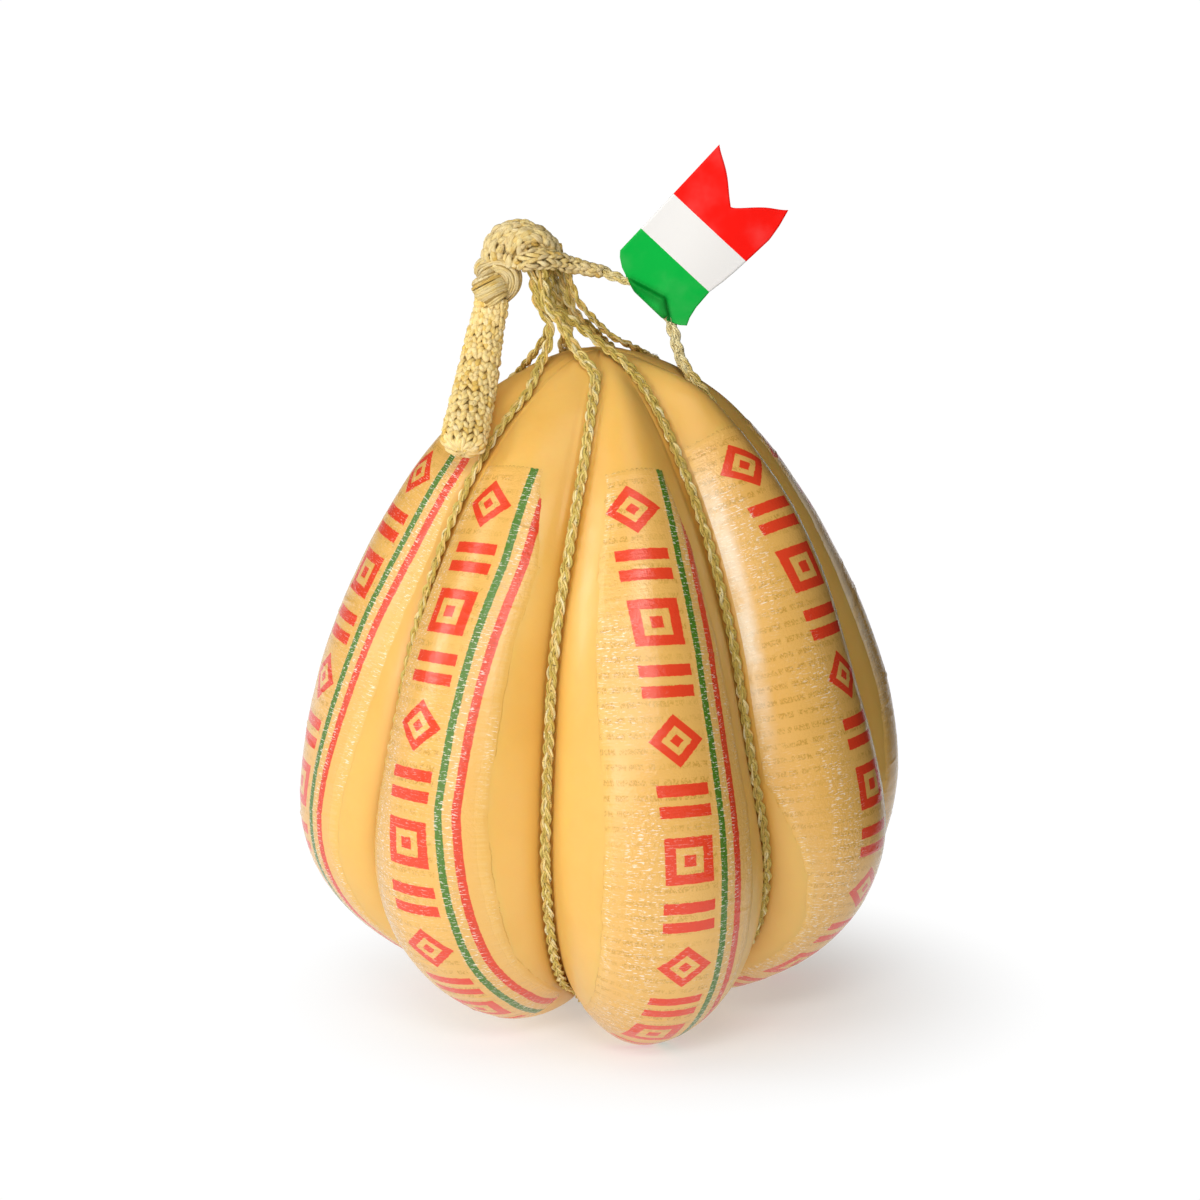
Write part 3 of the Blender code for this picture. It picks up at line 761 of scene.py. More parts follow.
def film_material():
    made, tree, shader = new_material("printed_film")
    place = object_place(tree)
    stored = from_mesh(tree, "print")
    x, down, from_side = add_node(tree, "ShaderNodeSeparateXYZ", {0: stored}).outputs
    ragged = times(tree, calculate(tree, "SUBTRACT", noise_at(tree, place, 900, 2), 0.5), 0.5)
    x_print = calculate(tree, "ADD", x, ragged)
    ragged_down = calculate(tree, "ADD", down, ragged)
    green = inside(tree, x_print, -GREEN_HALF, GREEN_HALF, INK_EDGE)
    stripe = inside(tree, x_print, RED_FROM_GREEN - RED_HALF, RED_FROM_GREEN + RED_HALF, INK_EDGE)
    red = most_of(tree, stripe, red_column(tree, x_print, ragged_down))

    # Where the film is stuck down, where it is gathered, and where a pale sheen is painted on it.
    held = rescale(tree, calculate(tree, "MINIMUM", from_side, ragged_down), 0.0, 4.5)
    held = times(tree, held, rescale(tree, x, 12.0, 9.0))
    beside_rim = times(tree, rescale(tree, from_side, 7.0, 2.5), rescale(tree, from_side, 0.2, 1.8))
    crowd = noise_at(tree, place, 26, 2)
    few, many = rescale(tree, crowd, 0.52, 0.66, 0.0, 0.35), rescale(tree, crowd, 0.42, 0.56)
    nearly_all = rescale(tree, crowd, 0.30, 0.40, 0.25, 1.0)
    stripes = inside(tree, x, -1.6, 5.6, 1.0)
    sides = most_of(tree, inside(tree, x, -30, -18, 2.5), rescale(tree, from_side, 5.0, 2.0))
    gathered = most_of(tree, times(tree, stripes, nearly_all), times(tree, sides, many))
    to_right = add_node(tree, "ShaderNodeSeparateXYZ", {0: place}).outputs["X"]
    # Painted sheen: a pale band along the film's left side, on the lobe right of centre, high on the strip.
    painted_sheen = times(
        tree, rescale(tree, from_side, 7.5, 3.0), rescale(tree, x, -12.0, -18.0), rescale(tree, down, 115.0, 60.0),
        rescale(tree, to_right, 0.018, 0.026), rescale(tree, down, 4.0, 24.0),
        rescale(tree, noise_at(tree, place, 110, 3), 0.36, 0.56, 0.45, 1.0),
    )

    pleats = noise_at(tree, stored, 1.0, 2.0, 0.5, stretch=(0.10, 1.15, 0.0))
    threads = noise_at(tree, stored, 1.0, 3.0, 0.7, stretch=(0.22, 1.5, 0.0))
    short = noise_at(tree, stored, 1.0, 2.0, 0.6, stretch=(0.5, 2.3, 0.0))
    # Painted shade across the creases, used over and between the stripes.
    folds = rescale(tree, noise_at(tree, stored, 1.0, 2.0, 0.6, stretch=(0.22, 2.6, 0.0)), 0.42, 0.60)
    fleck = rescale(tree, noise_at(tree, place, 2000, 1), 0.70, 0.75)
    # Painted highlight: short white glints and flecks where the film is gathered.
    glint = most_of(tree, rescale(tree, short, 0.58, 0.63), times(tree, fleck, 0.7))
    glint = times(tree, glint, most_of(tree, few, gathered), rescale(tree, from_side, 0.2, 0.9))

    colour = wax_colour(tree, place)
    for share, layer in (
        (times(tree, held, 0.35), FILM_TINT),
        (times(tree, folds, stripes, held, 0.42), FOLD_SHADE),
        (times(tree, beside_rim, rescale(tree, pleats, 0.40, 0.62), 0.20), PLEAT_PALE),
        (times(tree, ochre_rows(tree, stored, x, down), 0.66), PRINT_OCHRE),
        (times(tree, red, 0.95), PRINT_RED),
        (times(tree, green, 0.95), PRINT_GREEN),
        (times(tree, folds, most_of(tree, green, stripe), nearly_all, 0.18), INK_SHADE),
        # Painted highlights: the pale sheen band and the short glints.
        (times(tree, painted_sheen, 0.55), GLINT),
        (times(tree, glint, 0.72), GLINT),
    ):
        colour = blend(tree, share, colour, layer)

    normal = relief(tree, times(tree, threads, held), 0.22 * MM, 0.4)
    normal = relief(tree, times(tree, pleats, beside_rim), 0.5 * MM, 0.3, normal)
    crinkled = calculate(tree, "ADD", rescale(tree, from_side, 0.1, 1.5, 0.0, 1.4), times(tree, gathered, 1.6))
    crinkle = noise_at(tree, place, 1100, 3, 0.65)
    normal = relief(tree, times(tree, crinkle, crinkled), 0.22 * MM, 0.5, normal)
    gloss = rescale(tree, noise_at(tree, place, 160, 2), 0.3, 0.7, *FILM_GLOSS)
    set_inputs(tree, shader, {
        "Base Color": colour,
        "Roughness": calculate(tree, "ADD", gloss, rescale(tree, held, 0.0, 1.0, RIM_DULL, 0.0)),
        "Normal": normal,
        "Specular IOR Level": 0.52,
    })
    return made


film_finish = film_material()
for lobe in range(LOBES):
    strip = film_strip(lobe, film_finish)
    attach(strip, "root")
    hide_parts(f"film_{lobe + 1}")
print("film strips:", LOBES, "of", STRIP_ROWS, "rows")

# %% [markdown]
# ## Raffia
#
# Everything that holds the cheese is raffia: flat dry leaf fibres, plaited into thin cords, knitted into the
# thick one. One helper serves them all. It carries an oval section along a path and stores, on each point,
# where it lies round and along its strand, so that the fibres in the material run along every strand. It also
# stores one tone for the whole strand, because no two leaves dry to the same colour.


# %% A strand, and a bundle of strands in one mesh
def unit(vectors):
    return vectors / np.maximum(np.linalg.norm(vectors, axis=-1, keepdims=True), 1e-12)


def square_to(path, facing):
    """Directions across a path and out of it, the second as near as it can be to the one it faces."""
    tangent = unit(np.gradient(path, axis=0))
    facing = np.broadcast_to(np.asarray(facing, float), path.shape)
    normal = unit(facing - tangent * np.sum(facing * tangent, axis=1, keepdims=True))
    return np.cross(tangent, normal), normal


class Bundle:
    """Strands gathered into one mesh."""

    def __init__(self, seed):
        self.points, self.faces, self.fibre, self.tones, self.count = [], [], [], [], 0
        self.draw = np.random.default_rng(seed)

    def strand(self, path, normal, half_width, half_height, sides=8, tone=1.0):
        """An oval section carried along a path, closed at both ends. The tone is its largest."""
        path = np.asarray(path, float)
        rings = len(path)
        tone = self.draw.uniform(0, 1) * tone
        side, normal = square_to(path, normal)
        turn = np.arange(sides) * 2 * math.pi / sides
        width = np.broadcast_to(half_width, rings)[:, None, None]
        height = np.broadcast_to(half_height, rings)[:, None, None]
        across = np.cos(turn)[None, :, None] * width * side[:, None]
        out = np.sin(turn)[None, :, None] * height * normal[:, None]
        fibre = np.zeros((rings, sides, 3))
        fibre[..., 0] = np.cos(turn)[None, :] + self.draw.uniform(0, 40)
        fibre[..., 1] = np.sin(turn)[None, :]
        fibre[..., 2] = lengths_along(path)[:, None] / MM
        first = self.count + np.arange((rings - 1) * sides).reshape(rings - 1, sides)
        following = np.roll(first, -1, axis=1)
        quads = np.stack([first, first + sides, following + sides, following], -1).reshape(-1, 4)
        self.faces += quads.tolist()
        self.faces.append([self.count + k for k in range(sides)])
        self.faces.append([self.count + (rings - 1) * sides + k for k in reversed(range(sides))])
        self.points.append((path[:, None] + (across + out)).reshape(-1, 3))
        self.fibre.append(fibre.reshape(-1, 3))
        self.tones.append(np.repeat(np.broadcast_to(tone, rings), sides))
        self.count += rings * sides

    def piece(self, name, material):
        made = mesh_piece(name, np.concatenate(self.points), self.faces, material)
        store(made, "fibre", np.concatenate(self.fibre))
        store(made, "tone", np.concatenate(self.tones))
        return made


def even_path(points, step):
    """A smooth curve through the given points, read at even steps."""
    points = np.asarray(points, float)
    before = np.vstack([points[:1], points[:-1]])
    after = np.vstack([points[1:], points[-1:]])
    dense = []
    for a, b, c, d in zip(before, points, points[1:], after[1:]):
        for t in np.arange(0, 1, 0.05):
            curve = 2 * b + (c - a) * t + (2 * a - 5 * b + 4 * c - d) * t**2
            dense.append(0.5 * (curve + (3 * b - a - 3 * c + d) * t**3))
    dense = np.array([*dense, points[-1]])
    length = lengths_along(dense)
    places = np.linspace(0, length[-1], max(int(length[-1] / step), 3))
    return np.stack([np.interp(places, length, dense[:, i]) for i in range(3)], -1), places


# %% [markdown]
# ### The raffia finish
#
# Raffia is matt and straw-coloured, greener where the leaf was young and brown where it was old. The colour of a
# strand comes from its tone, and stretched noise along the strand draws its fibres. Small dark specks are painted
# shade, for the pinholes between them. Crevices between strands darken by themselves, because light doesn't reach
# them.

# %% Raffia materials
CORD_TONES = ((1.00, 0.88, 0.50), (0.94, 0.72, 0.26), (0.76, 0.60, 0.16), (0.64, 0.45, 0.08), (0.92, 0.62, 0.20))
KNIT_TONES = ((0.88, 0.74, 0.42), (0.80, 0.60, 0.23), (0.75, 0.60, 0.32), (0.84, 0.68, 0.31), (0.70, 0.46, 0.11))
TAIL_TONES = ((0.98, 0.82, 0.46), (0.92, 0.68, 0.24), (0.94, 0.74, 0.36), (0.96, 0.77, 0.34), (0.82, 0.55, 0.13))
SHADE_TONES = ((0.46, 0.31, 0.10), (0.38, 0.25, 0.07), (0.42, 0.28, 0.09), (0.36, 0.23, 0.06), (0.43, 0.28, 0.08))
CORD_DARK, KNIT_DARK = (0.22, 0.14, 0.03), (0.46, 0.28, 0.09)
TAIL_DARK, SHADE_DARK = (0.56, 0.37, 0.13), (0.10, 0.06, 0.015)
RAFFIA_GLOSS = (0.55, 0.80)


def colour_by_tone(tree, tone, tones):
    """Five colours, evenly spread over the tones from 0 to 1."""
    ramp = add_node(tree, "ShaderNodeValToRGB", {"Fac": tone})
    while len(ramp.color_ramp.elements) < len(tones):
        ramp.color_ramp.elements.new(0.5)
    for i, element in enumerate(ramp.color_ramp.elements):
        element.position = i / (len(tones) - 1)
    for element, colour in zip(ramp.color_ramp.elements, tones):
        element.color = (*colour, 1.0)
    return ramp.outputs["Color"]


def raffia_material(name, tones, dark, streaked, specked):
    """Raffia of some tones, with so much of its dark colour in streaks, and so much in specks of painted shade."""
    made, tree, shader = new_material(name)
    stored = from_mesh(tree, "fibre")
    streaks = noise_at(tree, stored, 2.6, 3, 0.7, stretch=(1.0, 1.0, 0.10))
    threads = noise_at(tree, stored, 5.5, 2, 0.6, stretch=(1.0, 1.0, 0.05))
    lengths = noise_at(tree, stored, 0.5, 2, 0.6, stretch=(0.2, 0.2, 0.55))
    specks = noise_at(tree, object_place(tree), 1300, 2, 0.5)
    drift = times(tree, calculate(tree, "SUBTRACT", lengths, 0.5), 1.1)
    colour = colour_by_tone(tree, calculate(tree, "ADD", from_mesh(tree, "tone", "Fac"), drift), tones)
    colour = blend(tree, times(tree, rescale(tree, streaks, 0.50, 0.68), streaked), colour, dark)
    # Painted shade: dark specks for the pinholes between the fibres.
    colour = blend(tree, times(tree, rescale(tree, specks, 0.62, 0.70), specked), colour, dark)
    set_inputs(tree, shader, {
        "Base Color": colour,
        "Roughness": rescale(tree, streaks, 0.3, 0.7, *RAFFIA_GLOSS),
        "Normal": relief(tree, threads, 0.30 * MM, 0.8),
        "Specular IOR Level": 0.3,
    })
    return made


cord_finish = raffia_material("raffia_cord", CORD_TONES, CORD_DARK, 0.65, 0.85)
knit_finish = raffia_material("raffia_knit", KNIT_TONES, KNIT_DARK, 0.55, 0.5)
tail_finish = raffia_material("raffia_tail", TAIL_TONES, TAIL_DARK, 0.45, 0.5)
# The cores are painted dark, as the shade inside the knitted tubes.
core_shade_finish = raffia_material("raffia_shade", SHADE_TONES, SHADE_DARK, 0.5, 0.3)

# %% [markdown]
# ### The eight plaited cords
#
# Each cord leaves the knot, hangs free over the shoulder, drops into its groove and goes on under the cheese to
# a small ring of the same cord. A three-strand plait has a simple rule: every strand swings from side to side
# once while it passes over and under twice. The three are a third of a swing apart. Each strand is itself three
# thin leaves that turn slowly round one another, and that is what makes the cord look fibrous from close by.

# %% Routes of the cords
CORD_TOP_RING = (3, 2, 2, 4, 2, 2, 2, 3)
CORD_RINGS, CORD_LAST_RING = 30, 28
CORD_FREE = (
    ((-20.9, -3.8, 231.0), (-18.5, -3.9, 214.9), (-15.1, -4.8, 208.8), (-15.0, -6.0, 202.8), (-17.3, -8.6, 197.3)),
    ((-17.8, -6.2, 231.0), (-15.8, -6.9, 214.5), (-12.5, -7.9, 210.2), (-7.3, -10.0, 201.6), (-4.5, -15.3, 198.7)),
    ((-15.6, -3.0, 231.0), (-14.1, -3.2, 214.7), (-9.7, -4.5, 210.2), (1.5, -9.0, 201.8), (5.9, -13.4, 199.2)),
    (
        (-22.4, -6.0, 226.6), (-20.0, -8.6, 227.5), (-16.1, -8.0, 227.7), (-11.9, -5.4, 226.6), (-8.2, -3.6, 225.2),
        (0.2, -2.4, 223.2), (6.8, -2.0, 220.6), (10.7, -2.0, 218.9), (14.4, -2.0, 215.5), (19.9, -2.0, 210.4),
        (21.3, -2.3, 206.5), (22.3, -2.6, 202.8), (25.0, -3.1, 195.0),
    ),
    ((-12.4, -0.4, 231.0), (-8.0, -0.3, 217.9), (-5.5, 0.0, 212.7), (2.7, 2.5, 203.7), (6.9, 3.0, 201.3)),
    ((-13.7, 3.2, 231.0), (-8.6, 3.8, 212.0), (-2.4, 6.5, 204.6), (-0.6, 10.0, 201.9)),
    ((-17.4, 4.4, 231.0), (-11.9, 6.8, 213.5), (-9.5, 8.2, 205.3), (-11.1, 10.0, 199.9)),
    ((-20.8, 0.6, 231.0), (-17.3, -0.4, 215.1), (-14.7, -0.8, 209.0), (-16.3, 0.2, 203.3), (-20.2, 3.0, 197.1)),
)
TAG_CORD = 3
TAG_CORD_LENGTHS = (0, 7, 12, 24, 31, 35, 46, 50, 64, 72)
TAG_CORD_WIDTHS = (4.2, 4.2, 4.2, 4.1, 3.5, 2.3, 2.3, 3.9, 3.9, 3.7)
# Where the cord leaves the label its strands are held to the palest tone, as painted light shining through the cord.
TAG_CORD_TONES = (0.2, 0.2, 0.3, 0.5, 0.4, 0.2, 0.05, 0.0, 0.0, 1.0)
TAG_CORD_FACING, TAG_CORD_TURN = np.array([0.1, -1.0, 0.3]), 9 * MM
TIE_RING_RADIUS, TIE_RING_HEIGHT, TIE_RING_WIDTH = 7.5 * MM, 5.6 * MM, 3.2 * MM
FREE_WIDTH, GROOVE_WIDTH, NARROWING = 3.8 * MM, 3.4 * MM, 14 * MM
CORD_LIFT = 1.3 * MM
STRAND_STEP = 0.8 * MM
PLAIT_PITCH, LEAF_PITCH = 4.3 * MM, 11 * MM
SWING, SWING_DRIFT = 0.27, 0.03
WEAVE, WEAVE_DRIFT = 0.14, 0.02
LEAF_ASIDE, LEAF_OUT = 0.125, 0.075
LEAF_HALF_WIDTH, LEAF_HALF_HEIGHT = 0.110, 0.075
STRAY_FIBRES, STRAY_REACH = 16, 0.8 * MM


def groove_floor(cord, down, lift):
    """Points over the floor of a groove, and the directions out of it."""
    floor = wax(cord, down, -1.0)
    along = wax(cord, down + 0.01, -1.0) - wax(cord, down - 0.01, -1.0)
    azimuth = cord_azimuth(cord, down)
    across = np.stack([np.cos(azimuth), np.sin(azimuth), np.zeros_like(azimuth)], -1)
    outward = unit(np.cross(along, across))
    return floor + outward * lift, outward


def plait(bundle, path, length, normal, width, start, tone=1.0):
    """Three strands of three leaves, woven flat along a path. The strands thin out and thicken with the width."""
    side, normal = square_to(path, normal)
    pitch = PLAIT_PITCH * np.maximum(width / GROOVE_WIDTH, 0.9)
    gone = np.concatenate([[0], np.cumsum(np.diff(length) / pitch[1:])])
    for k in range(3):
        swing = 2 * math.pi * gone / 3 + 2 * math.pi * k / 3 + start
        drift = noise_along(length / MM * 0.21, start * 5 + k, 0)
        x = width * (SWING * np.sin(swing) + SWING_DRIFT * drift)
        z = width * (WEAVE * np.sin(2 * swing) + WEAVE_DRIFT * drift)
        centre = path + side * x[:, None] + normal * z[:, None]
        for leaf in range(3):
            roll = 2 * math.pi * leaf / 3 + 2 * math.pi * length / LEAF_PITCH + 2.1 * k
            offset = width * (1 + 0.25 * noise_along(length / MM * 0.3, start * 3 + k, leaf * 2.0))
            aside, out = LEAF_ASIDE * np.cos(roll) * offset, LEAF_OUT * np.sin(roll) * offset
            line = centre + side * aside[:, None] + normal * out[:, None]
            bundle.strand(line, normal, width * LEAF_HALF_WIDTH, width * LEAF_HALF_HEIGHT, 6, tone)


def carry_back(path, normal, known):
    """Directions carried back along a path from the first known one, turning only with the path."""
    tangent = unit(np.gradient(path, axis=0))
    for i in range(known - 1, -1, -1):
        kept = normal[i + 1] - tangent[i] * np.dot(normal[i + 1], tangent[i])
        normal[i] = kept / np.linalg.norm(kept)
    return normal


def stray_fibres(bundle, path, side, normal, seed):
    """Thin ends of leaf that have worked free of a cord."""
    draw = np.random.default_rng(seed)
    for _ in range(STRAY_FIBRES):
        i = int(draw.integers(2, len(path) - 8))
        along = unit(path[i + 5] - path[i])
        out = draw.normal(0, 1) * side[i] + abs(draw.normal(0.5, 0.6)) * normal[i]
        out = out / np.linalg.norm(out)
        span = draw.uniform(1.2, 3.6) * MM
        t = np.linspace(0, 1, 5)[:, None]
        line = path[i] + out * (1.0 * MM + t**1.5 * STRAY_REACH * draw.uniform(0.2, 1.0)) + along * span * t
        bundle.strand(line, normal[i], 0.10 * MM * (1 - 0.7 * t[:, 0]), 0.06 * MM, sides=4)


def ease_corner(path, at):
    """Round off the corner where a cord first touches the wax."""
    window = np.hanning(15)[1:-1] / np.hanning(15)[1:-1].sum()
    eased = np.stack([np.convolve(np.pad(path[:, i], 6, "edge"), window, "valid") for i in range(3)], -1)
    near = np.exp(-(((np.arange(len(path)) - at) / 14) ** 2))[:, None]
    return path + (eased - path) * near


def cord_piece(cord, material):
    steps = np.arange(CORD_TOP_RING[cord] * 2, CORD_LAST_RING * 2 + 1) / (2 * CORD_RINGS)
    seated, outward = groove_floor(cord, steps, CORD_LIFT)
    azimuth = cord_azimuth(cord, steps[-1:])[0]
    reach = TIE_RING_RADIUS + TIE_RING_WIDTH / 2
    end = np.array([reach * math.sin(azimuth), -reach * math.cos(azimuth), TIE_RING_HEIGHT])
    path, length = even_path(np.vstack([np.array(CORD_FREE[cord]) * MM, seated, end]), STRAND_STEP)
    nearest = np.array([np.argmin(np.linalg.norm(seated - p, axis=1)) for p in path])
    lift_off = int(np.argmin(np.linalg.norm(path - seated[0], axis=1)))
    path = ease_corner(path, lift_off)
    normal = carry_back(path, outward[nearest].copy(), lift_off)
    past = (np.arange(len(path)) - lift_off) * STRAND_STEP
    width = FREE_WIDTH + (GROOVE_WIDTH - FREE_WIDTH) * smooth_step(past / NARROWING)
    tone = 1.0
    if cord == TAG_CORD:
        own_width = np.interp(length / MM, TAG_CORD_LENGTHS, TAG_CORD_WIDTHS) * MM
        width = np.where(length < TAG_CORD_LENGTHS[-1] * MM, own_width, width)
        # Off the cheese this plait has turned its flat side to the front.
        to_front = smooth_step(-past / TAG_CORD_TURN)[:, None]
        normal = square_to(path, normal + (TAG_CORD_FACING - normal) * to_front)[1]
        # Painted light: these tones keep the stretch past the label palest.
        tone = np.interp(length / MM, TAG_CORD_LENGTHS, TAG_CORD_TONES)
    bundle = Bundle(60 + cord)
    plait(bundle, path, length, normal, width, 0.13 + 0.71 * cord, tone)
    side = np.cross(unit(np.gradient(path, axis=0)), normal)
    stray_fibres(bundle, path, side, normal, 90 + cord)
    print(f"cord {cord + 1}: {length[-1] / MM:.0f} mm")
    return bundle.piece(f"plaited_cord_{cord + 1}", material)


# %% Make the cords and their ring
for cord in range(LOBES):
    made = cord_piece(cord, cord_finish)
    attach(made, "root")
    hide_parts(f"cord_{cord + 1}")

RING_STEPS = 90
turn = np.linspace(0, 2 * math.pi, RING_STEPS)
ring_path = TIE_RING_RADIUS * np.stack([np.cos(turn), np.sin(turn), 0 * turn], -1) + [0, 0, TIE_RING_HEIGHT]
ring_width = np.full(RING_STEPS, TIE_RING_WIDTH)
ring_bundle = Bundle(59)
plait(ring_bundle, ring_path, turn * TIE_RING_RADIUS, (0.0, 0.0, -1.0), ring_width, 0.4)
tie_ring = ring_bundle.piece("plaited_ring", cord_finish)
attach(tie_ring, "root")
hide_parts("cord_ring")

# %% [markdown]
# ## The knitted cord: tail, wrap and knot
#
# The thick cord is knitted in the round: columns of V-shaped stitches, each leg a plump pinch of raffia. Its end
# hangs down as the tail, two bands of raffia wrap it at the neck, and above them it doubles over in a lumpy
# knot. A stitch is made once as a bent spindle, and the helper lays it in rows round a core that is painted dark
# brown, as the shade between the stitches. No stitch lies quite like the next, so each is drawn a little longer,
# fatter or more askew.

# %% Knitting in the round
STITCH_RISE = (-0.35, 1.10)
STITCH_SPREAD = (0.03, 0.52)
STITCH_LENGTH = 1.55
STITCH_POINTS = 7


def spread_along(values, count):
    return np.interp(np.linspace(0, 1, count), np.linspace(0, 1, len(values)), values)


def knit(bundle, path, facing, half_width, half_depth, columns, pitch, leg, seed):
    """Rows of V stitches round a tube. half_width and half_depth may change along it."""
    draw = np.random.default_rng(seed)
    fine, length = even_path(path, 0.25 * MM)
    side, normal = square_to(fine, facing)
    total = length[-1]
    wide, deep = spread_along(half_width, len(fine)), spread_along(half_depth, len(fine))
    rows = int(total / pitch)
    t = np.linspace(0, 1, STITCH_POINTS)
    for row in range(-1, rows + 1):
        askew = draw.normal(0, 0.10)
        for column in range(columns):
            stretch = draw.uniform(0.85, 1.15)
            for way in (-1, 1):
                spread = STITCH_SPREAD[0] + STITCH_SPREAD[1] * t * draw.uniform(0.8, 1.2) + draw.normal(0, 0.07)
                turned = column + 0.5 + 0.16 * math.sin(row * 0.7 + column) + 1.6 * row / max(rows, 1)
                angle = 2 * math.pi * (turned / columns + way * spread / columns)
                at = (row + STITCH_LENGTH * stretch * t + askew + draw.normal(0, 0.12)) * pitch
                i = np.clip(np.rint(np.clip(at, 0, total) / total * (len(fine) - 1)).astype(int), 0, len(fine) - 1)
                rise = STITCH_RISE[0] + STITCH_RISE[1] * np.sin(math.pi * t) ** 0.8 + draw.normal(0, 0.12)
                cos, sin = np.cos(angle), np.sin(angle)
                out = unit((cos / wide[i])[:, None] * side[i] + (sin / deep[i])[:, None] * normal[i])
                skin = fine[i] + (cos * wide[i])[:, None] * side[i] + (sin * deep[i])[:, None] * normal[i]
                thick = leg * (0.45 + 0.55 * np.sin(math.pi * t)) * draw.uniform(0.82, 1.18)
                bundle.strand(skin + out * (rise * leg)[:, None], out, thick, thick * 0.8, sides=6)


def core(bundle, path, facing, half_width, half_depth, shrink):
    """The inside of a tube, painted dark as the shade that shows between its stitches."""
    fine, _ = even_path(path, 1.0 * MM)
    normal = square_to(fine, facing)[1]
    closing = np.sqrt(np.clip(1 - (2 * np.linspace(0, 1, len(fine)) - 1) ** 16, 0.02, 1))
    wide, deep = (
        np.maximum(spread_along(half, len(fine)) - shrink, 0.2 * MM) * closing for half in (half_width, half_depth)
    )
    bundle.strand(fine, normal, wide, deep, sides=16)


def dress(pieces, node):
    """Let some raffia pieces stand for one measured solid."""
    for piece in pieces:
        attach(piece, "root")
    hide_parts(node)

# %% The tail
TAIL_ROUTE = (
    (-32.0, -4.4, 215.0), (-32.3, -4.8, 211.6), (-33.5, -7.0, 206.5), (-35.1, -11.5, 198.4), (-36.6, -18.0, 190.5),
    (-38.1, -26.0, 184.1), (-39.3, -32.0, 178.9), (-40.1, -35.9, 175.9),
)
TAIL_SHARES = (0.72, 0.78, 0.86, 0.96, 1.00, 1.04, 1.08, 1.02)
TAIL_HALF_WIDTH, TAIL_HALF_DEPTH = 5.35 * MM, 3.5 * MM
TAIL_FACING = (0.0, -1.0, 0.25)
TAIL_ROUNDING = 4.0 * MM
TAIL_STEPS = 120

tail_route = np.array(TAIL_ROUTE) * MM
tail_length = np.linalg.norm(np.diff(tail_route, axis=0), axis=1).sum()
into_end = np.linspace(0, tail_length, TAIL_STEPS) - tail_length + TAIL_ROUNDING
into_end = np.clip(into_end, 0, None) / TAIL_ROUNDING
tail_shape = spread_along(TAIL_SHARES, TAIL_STEPS) * np.sqrt(np.clip(1 - into_end**2.4, 0.02, 1))
tail_wide, tail_deep = tail_shape * TAIL_HALF_WIDTH, tail_shape * TAIL_HALF_DEPTH
tail_bundle, tail_core_bundle = Bundle(70), Bundle(71)
knit(tail_bundle, tail_route, TAIL_FACING, tail_wide, tail_deep, 12, 2.0 * MM, 0.82 * MM, 7)
core(tail_core_bundle, tail_route, TAIL_FACING, tail_wide, tail_deep, 0.05 * MM)
tail = tail_bundle.piece("knitted_tail", tail_finish)
dress([tail, tail_core_bundle.piece("tail_core", core_shade_finish)], "tail")
print(f"tail: {tail_length / MM:.0f} mm")

# %% The wrap
NECK_CENTRE = np.array((-32.2, -4.6, 218.6)) * MM
NECK_AXIS = np.array((-0.50, 0.18, 0.85))
NECK_HALF_LENGTH, NECK_RADIUS = 4.5 * MM, 4.9 * MM
NECK_CORE_HALF, NECK_CORE_RADIUS = 4.6, 4.4 * MM
COLLAR_ROUTE = (
    (-34.0, 3.6, 222.6), (-33.4, -0.4, 224.0), (-30.0, -3.0, 225.0), (-27.4, -3.8, 224.0), (-26.1, -3.8, 221.8),
    (-26.6, -3.2, 219.0), (-28.6, -0.8, 216.6), (-30.0, 2.4, 215.4),
)
COLLAR_RADIUS = 2.9 * MM
FRONT = (0.0, -1.0, 0.0)


def wound(bundle, centre, axis, half_length, radius, turns, seed):
    """Parallel turns of raffia round a barrel with that axis."""
    draw = np.random.default_rng(seed)
    axis = axis / np.linalg.norm(axis)
    first = unit(np.cross(axis, [0.0, 1.0, 0.1]))
    second = np.cross(axis, first)
    angle = np.linspace(0, 2 * math.pi, 41)
    round_it = np.cos(angle)[:, None] * first + np.sin(angle)[:, None] * second
    for k in range(turns):
        place = -1 + 2 * (k + 0.5) / turns
        size = radius * math.sqrt(max(1 - (0.80 * place) ** 2, 0.05)) * draw.uniform(0.95, 1.05)
        slip = 0.10 * half_length * np.sin(angle + draw.uniform(0, 6))
        line = centre + axis * (place * half_length + slip)[:, None] + size * round_it
        bundle.strand(line, unit(line - centre), draw.uniform(0.38, 0.56) * MM, 0.38 * MM, sides=6)


def laid_along(bundle, path, radius, count, seed):
    """Parallel leaves laid round a sausage, along it, with a slow twist."""
    draw = np.random.default_rng(seed)
    fine, length = even_path(path, 0.7 * MM)
    side, normal = square_to(fine, FRONT)
    for k in range(count):
        turn = 2 * math.pi * k / count + 0.9 * length / length[-1]
        turn = turn + 0.10 * np.sin(length / (4 * MM) + draw.uniform(0, 6))
        away = radius * draw.uniform(0.93, 1.06)
        line = fine + away * (np.cos(turn)[:, None] * side + np.sin(turn)[:, None] * normal)
        bundle.strand(line, unit(line - fine), draw.uniform(0.42, 0.60) * MM, 0.36 * MM, sides=6)


collar = np.array(COLLAR_ROUTE) * MM
neck = NECK_CENTRE + np.linspace(-NECK_CORE_HALF, NECK_CORE_HALF, 6)[:, None] * MM * unit(NECK_AXIS)
wrap_bundle, wrap_core_bundle = Bundle(72), Bundle(73)
wound(wrap_bundle, NECK_CENTRE, NECK_AXIS, NECK_HALF_LENGTH, NECK_RADIUS, 15, 21)
laid_along(wrap_bundle, collar, COLLAR_RADIUS, 21, 22)
for route, radius in ((neck, NECK_CORE_RADIUS), (collar, COLLAR_RADIUS)):
    core(wrap_core_bundle, route, FRONT, [radius] * 2, [radius] * 2, 0)
wrap = wrap_bundle.piece("wrapped_neck", knit_finish)
dress([wrap, wrap_core_bundle.piece("wrap_core", core_shade_finish)], "knot_wrap")
print("wrap:", len(wrap.data.polygons), "faces")

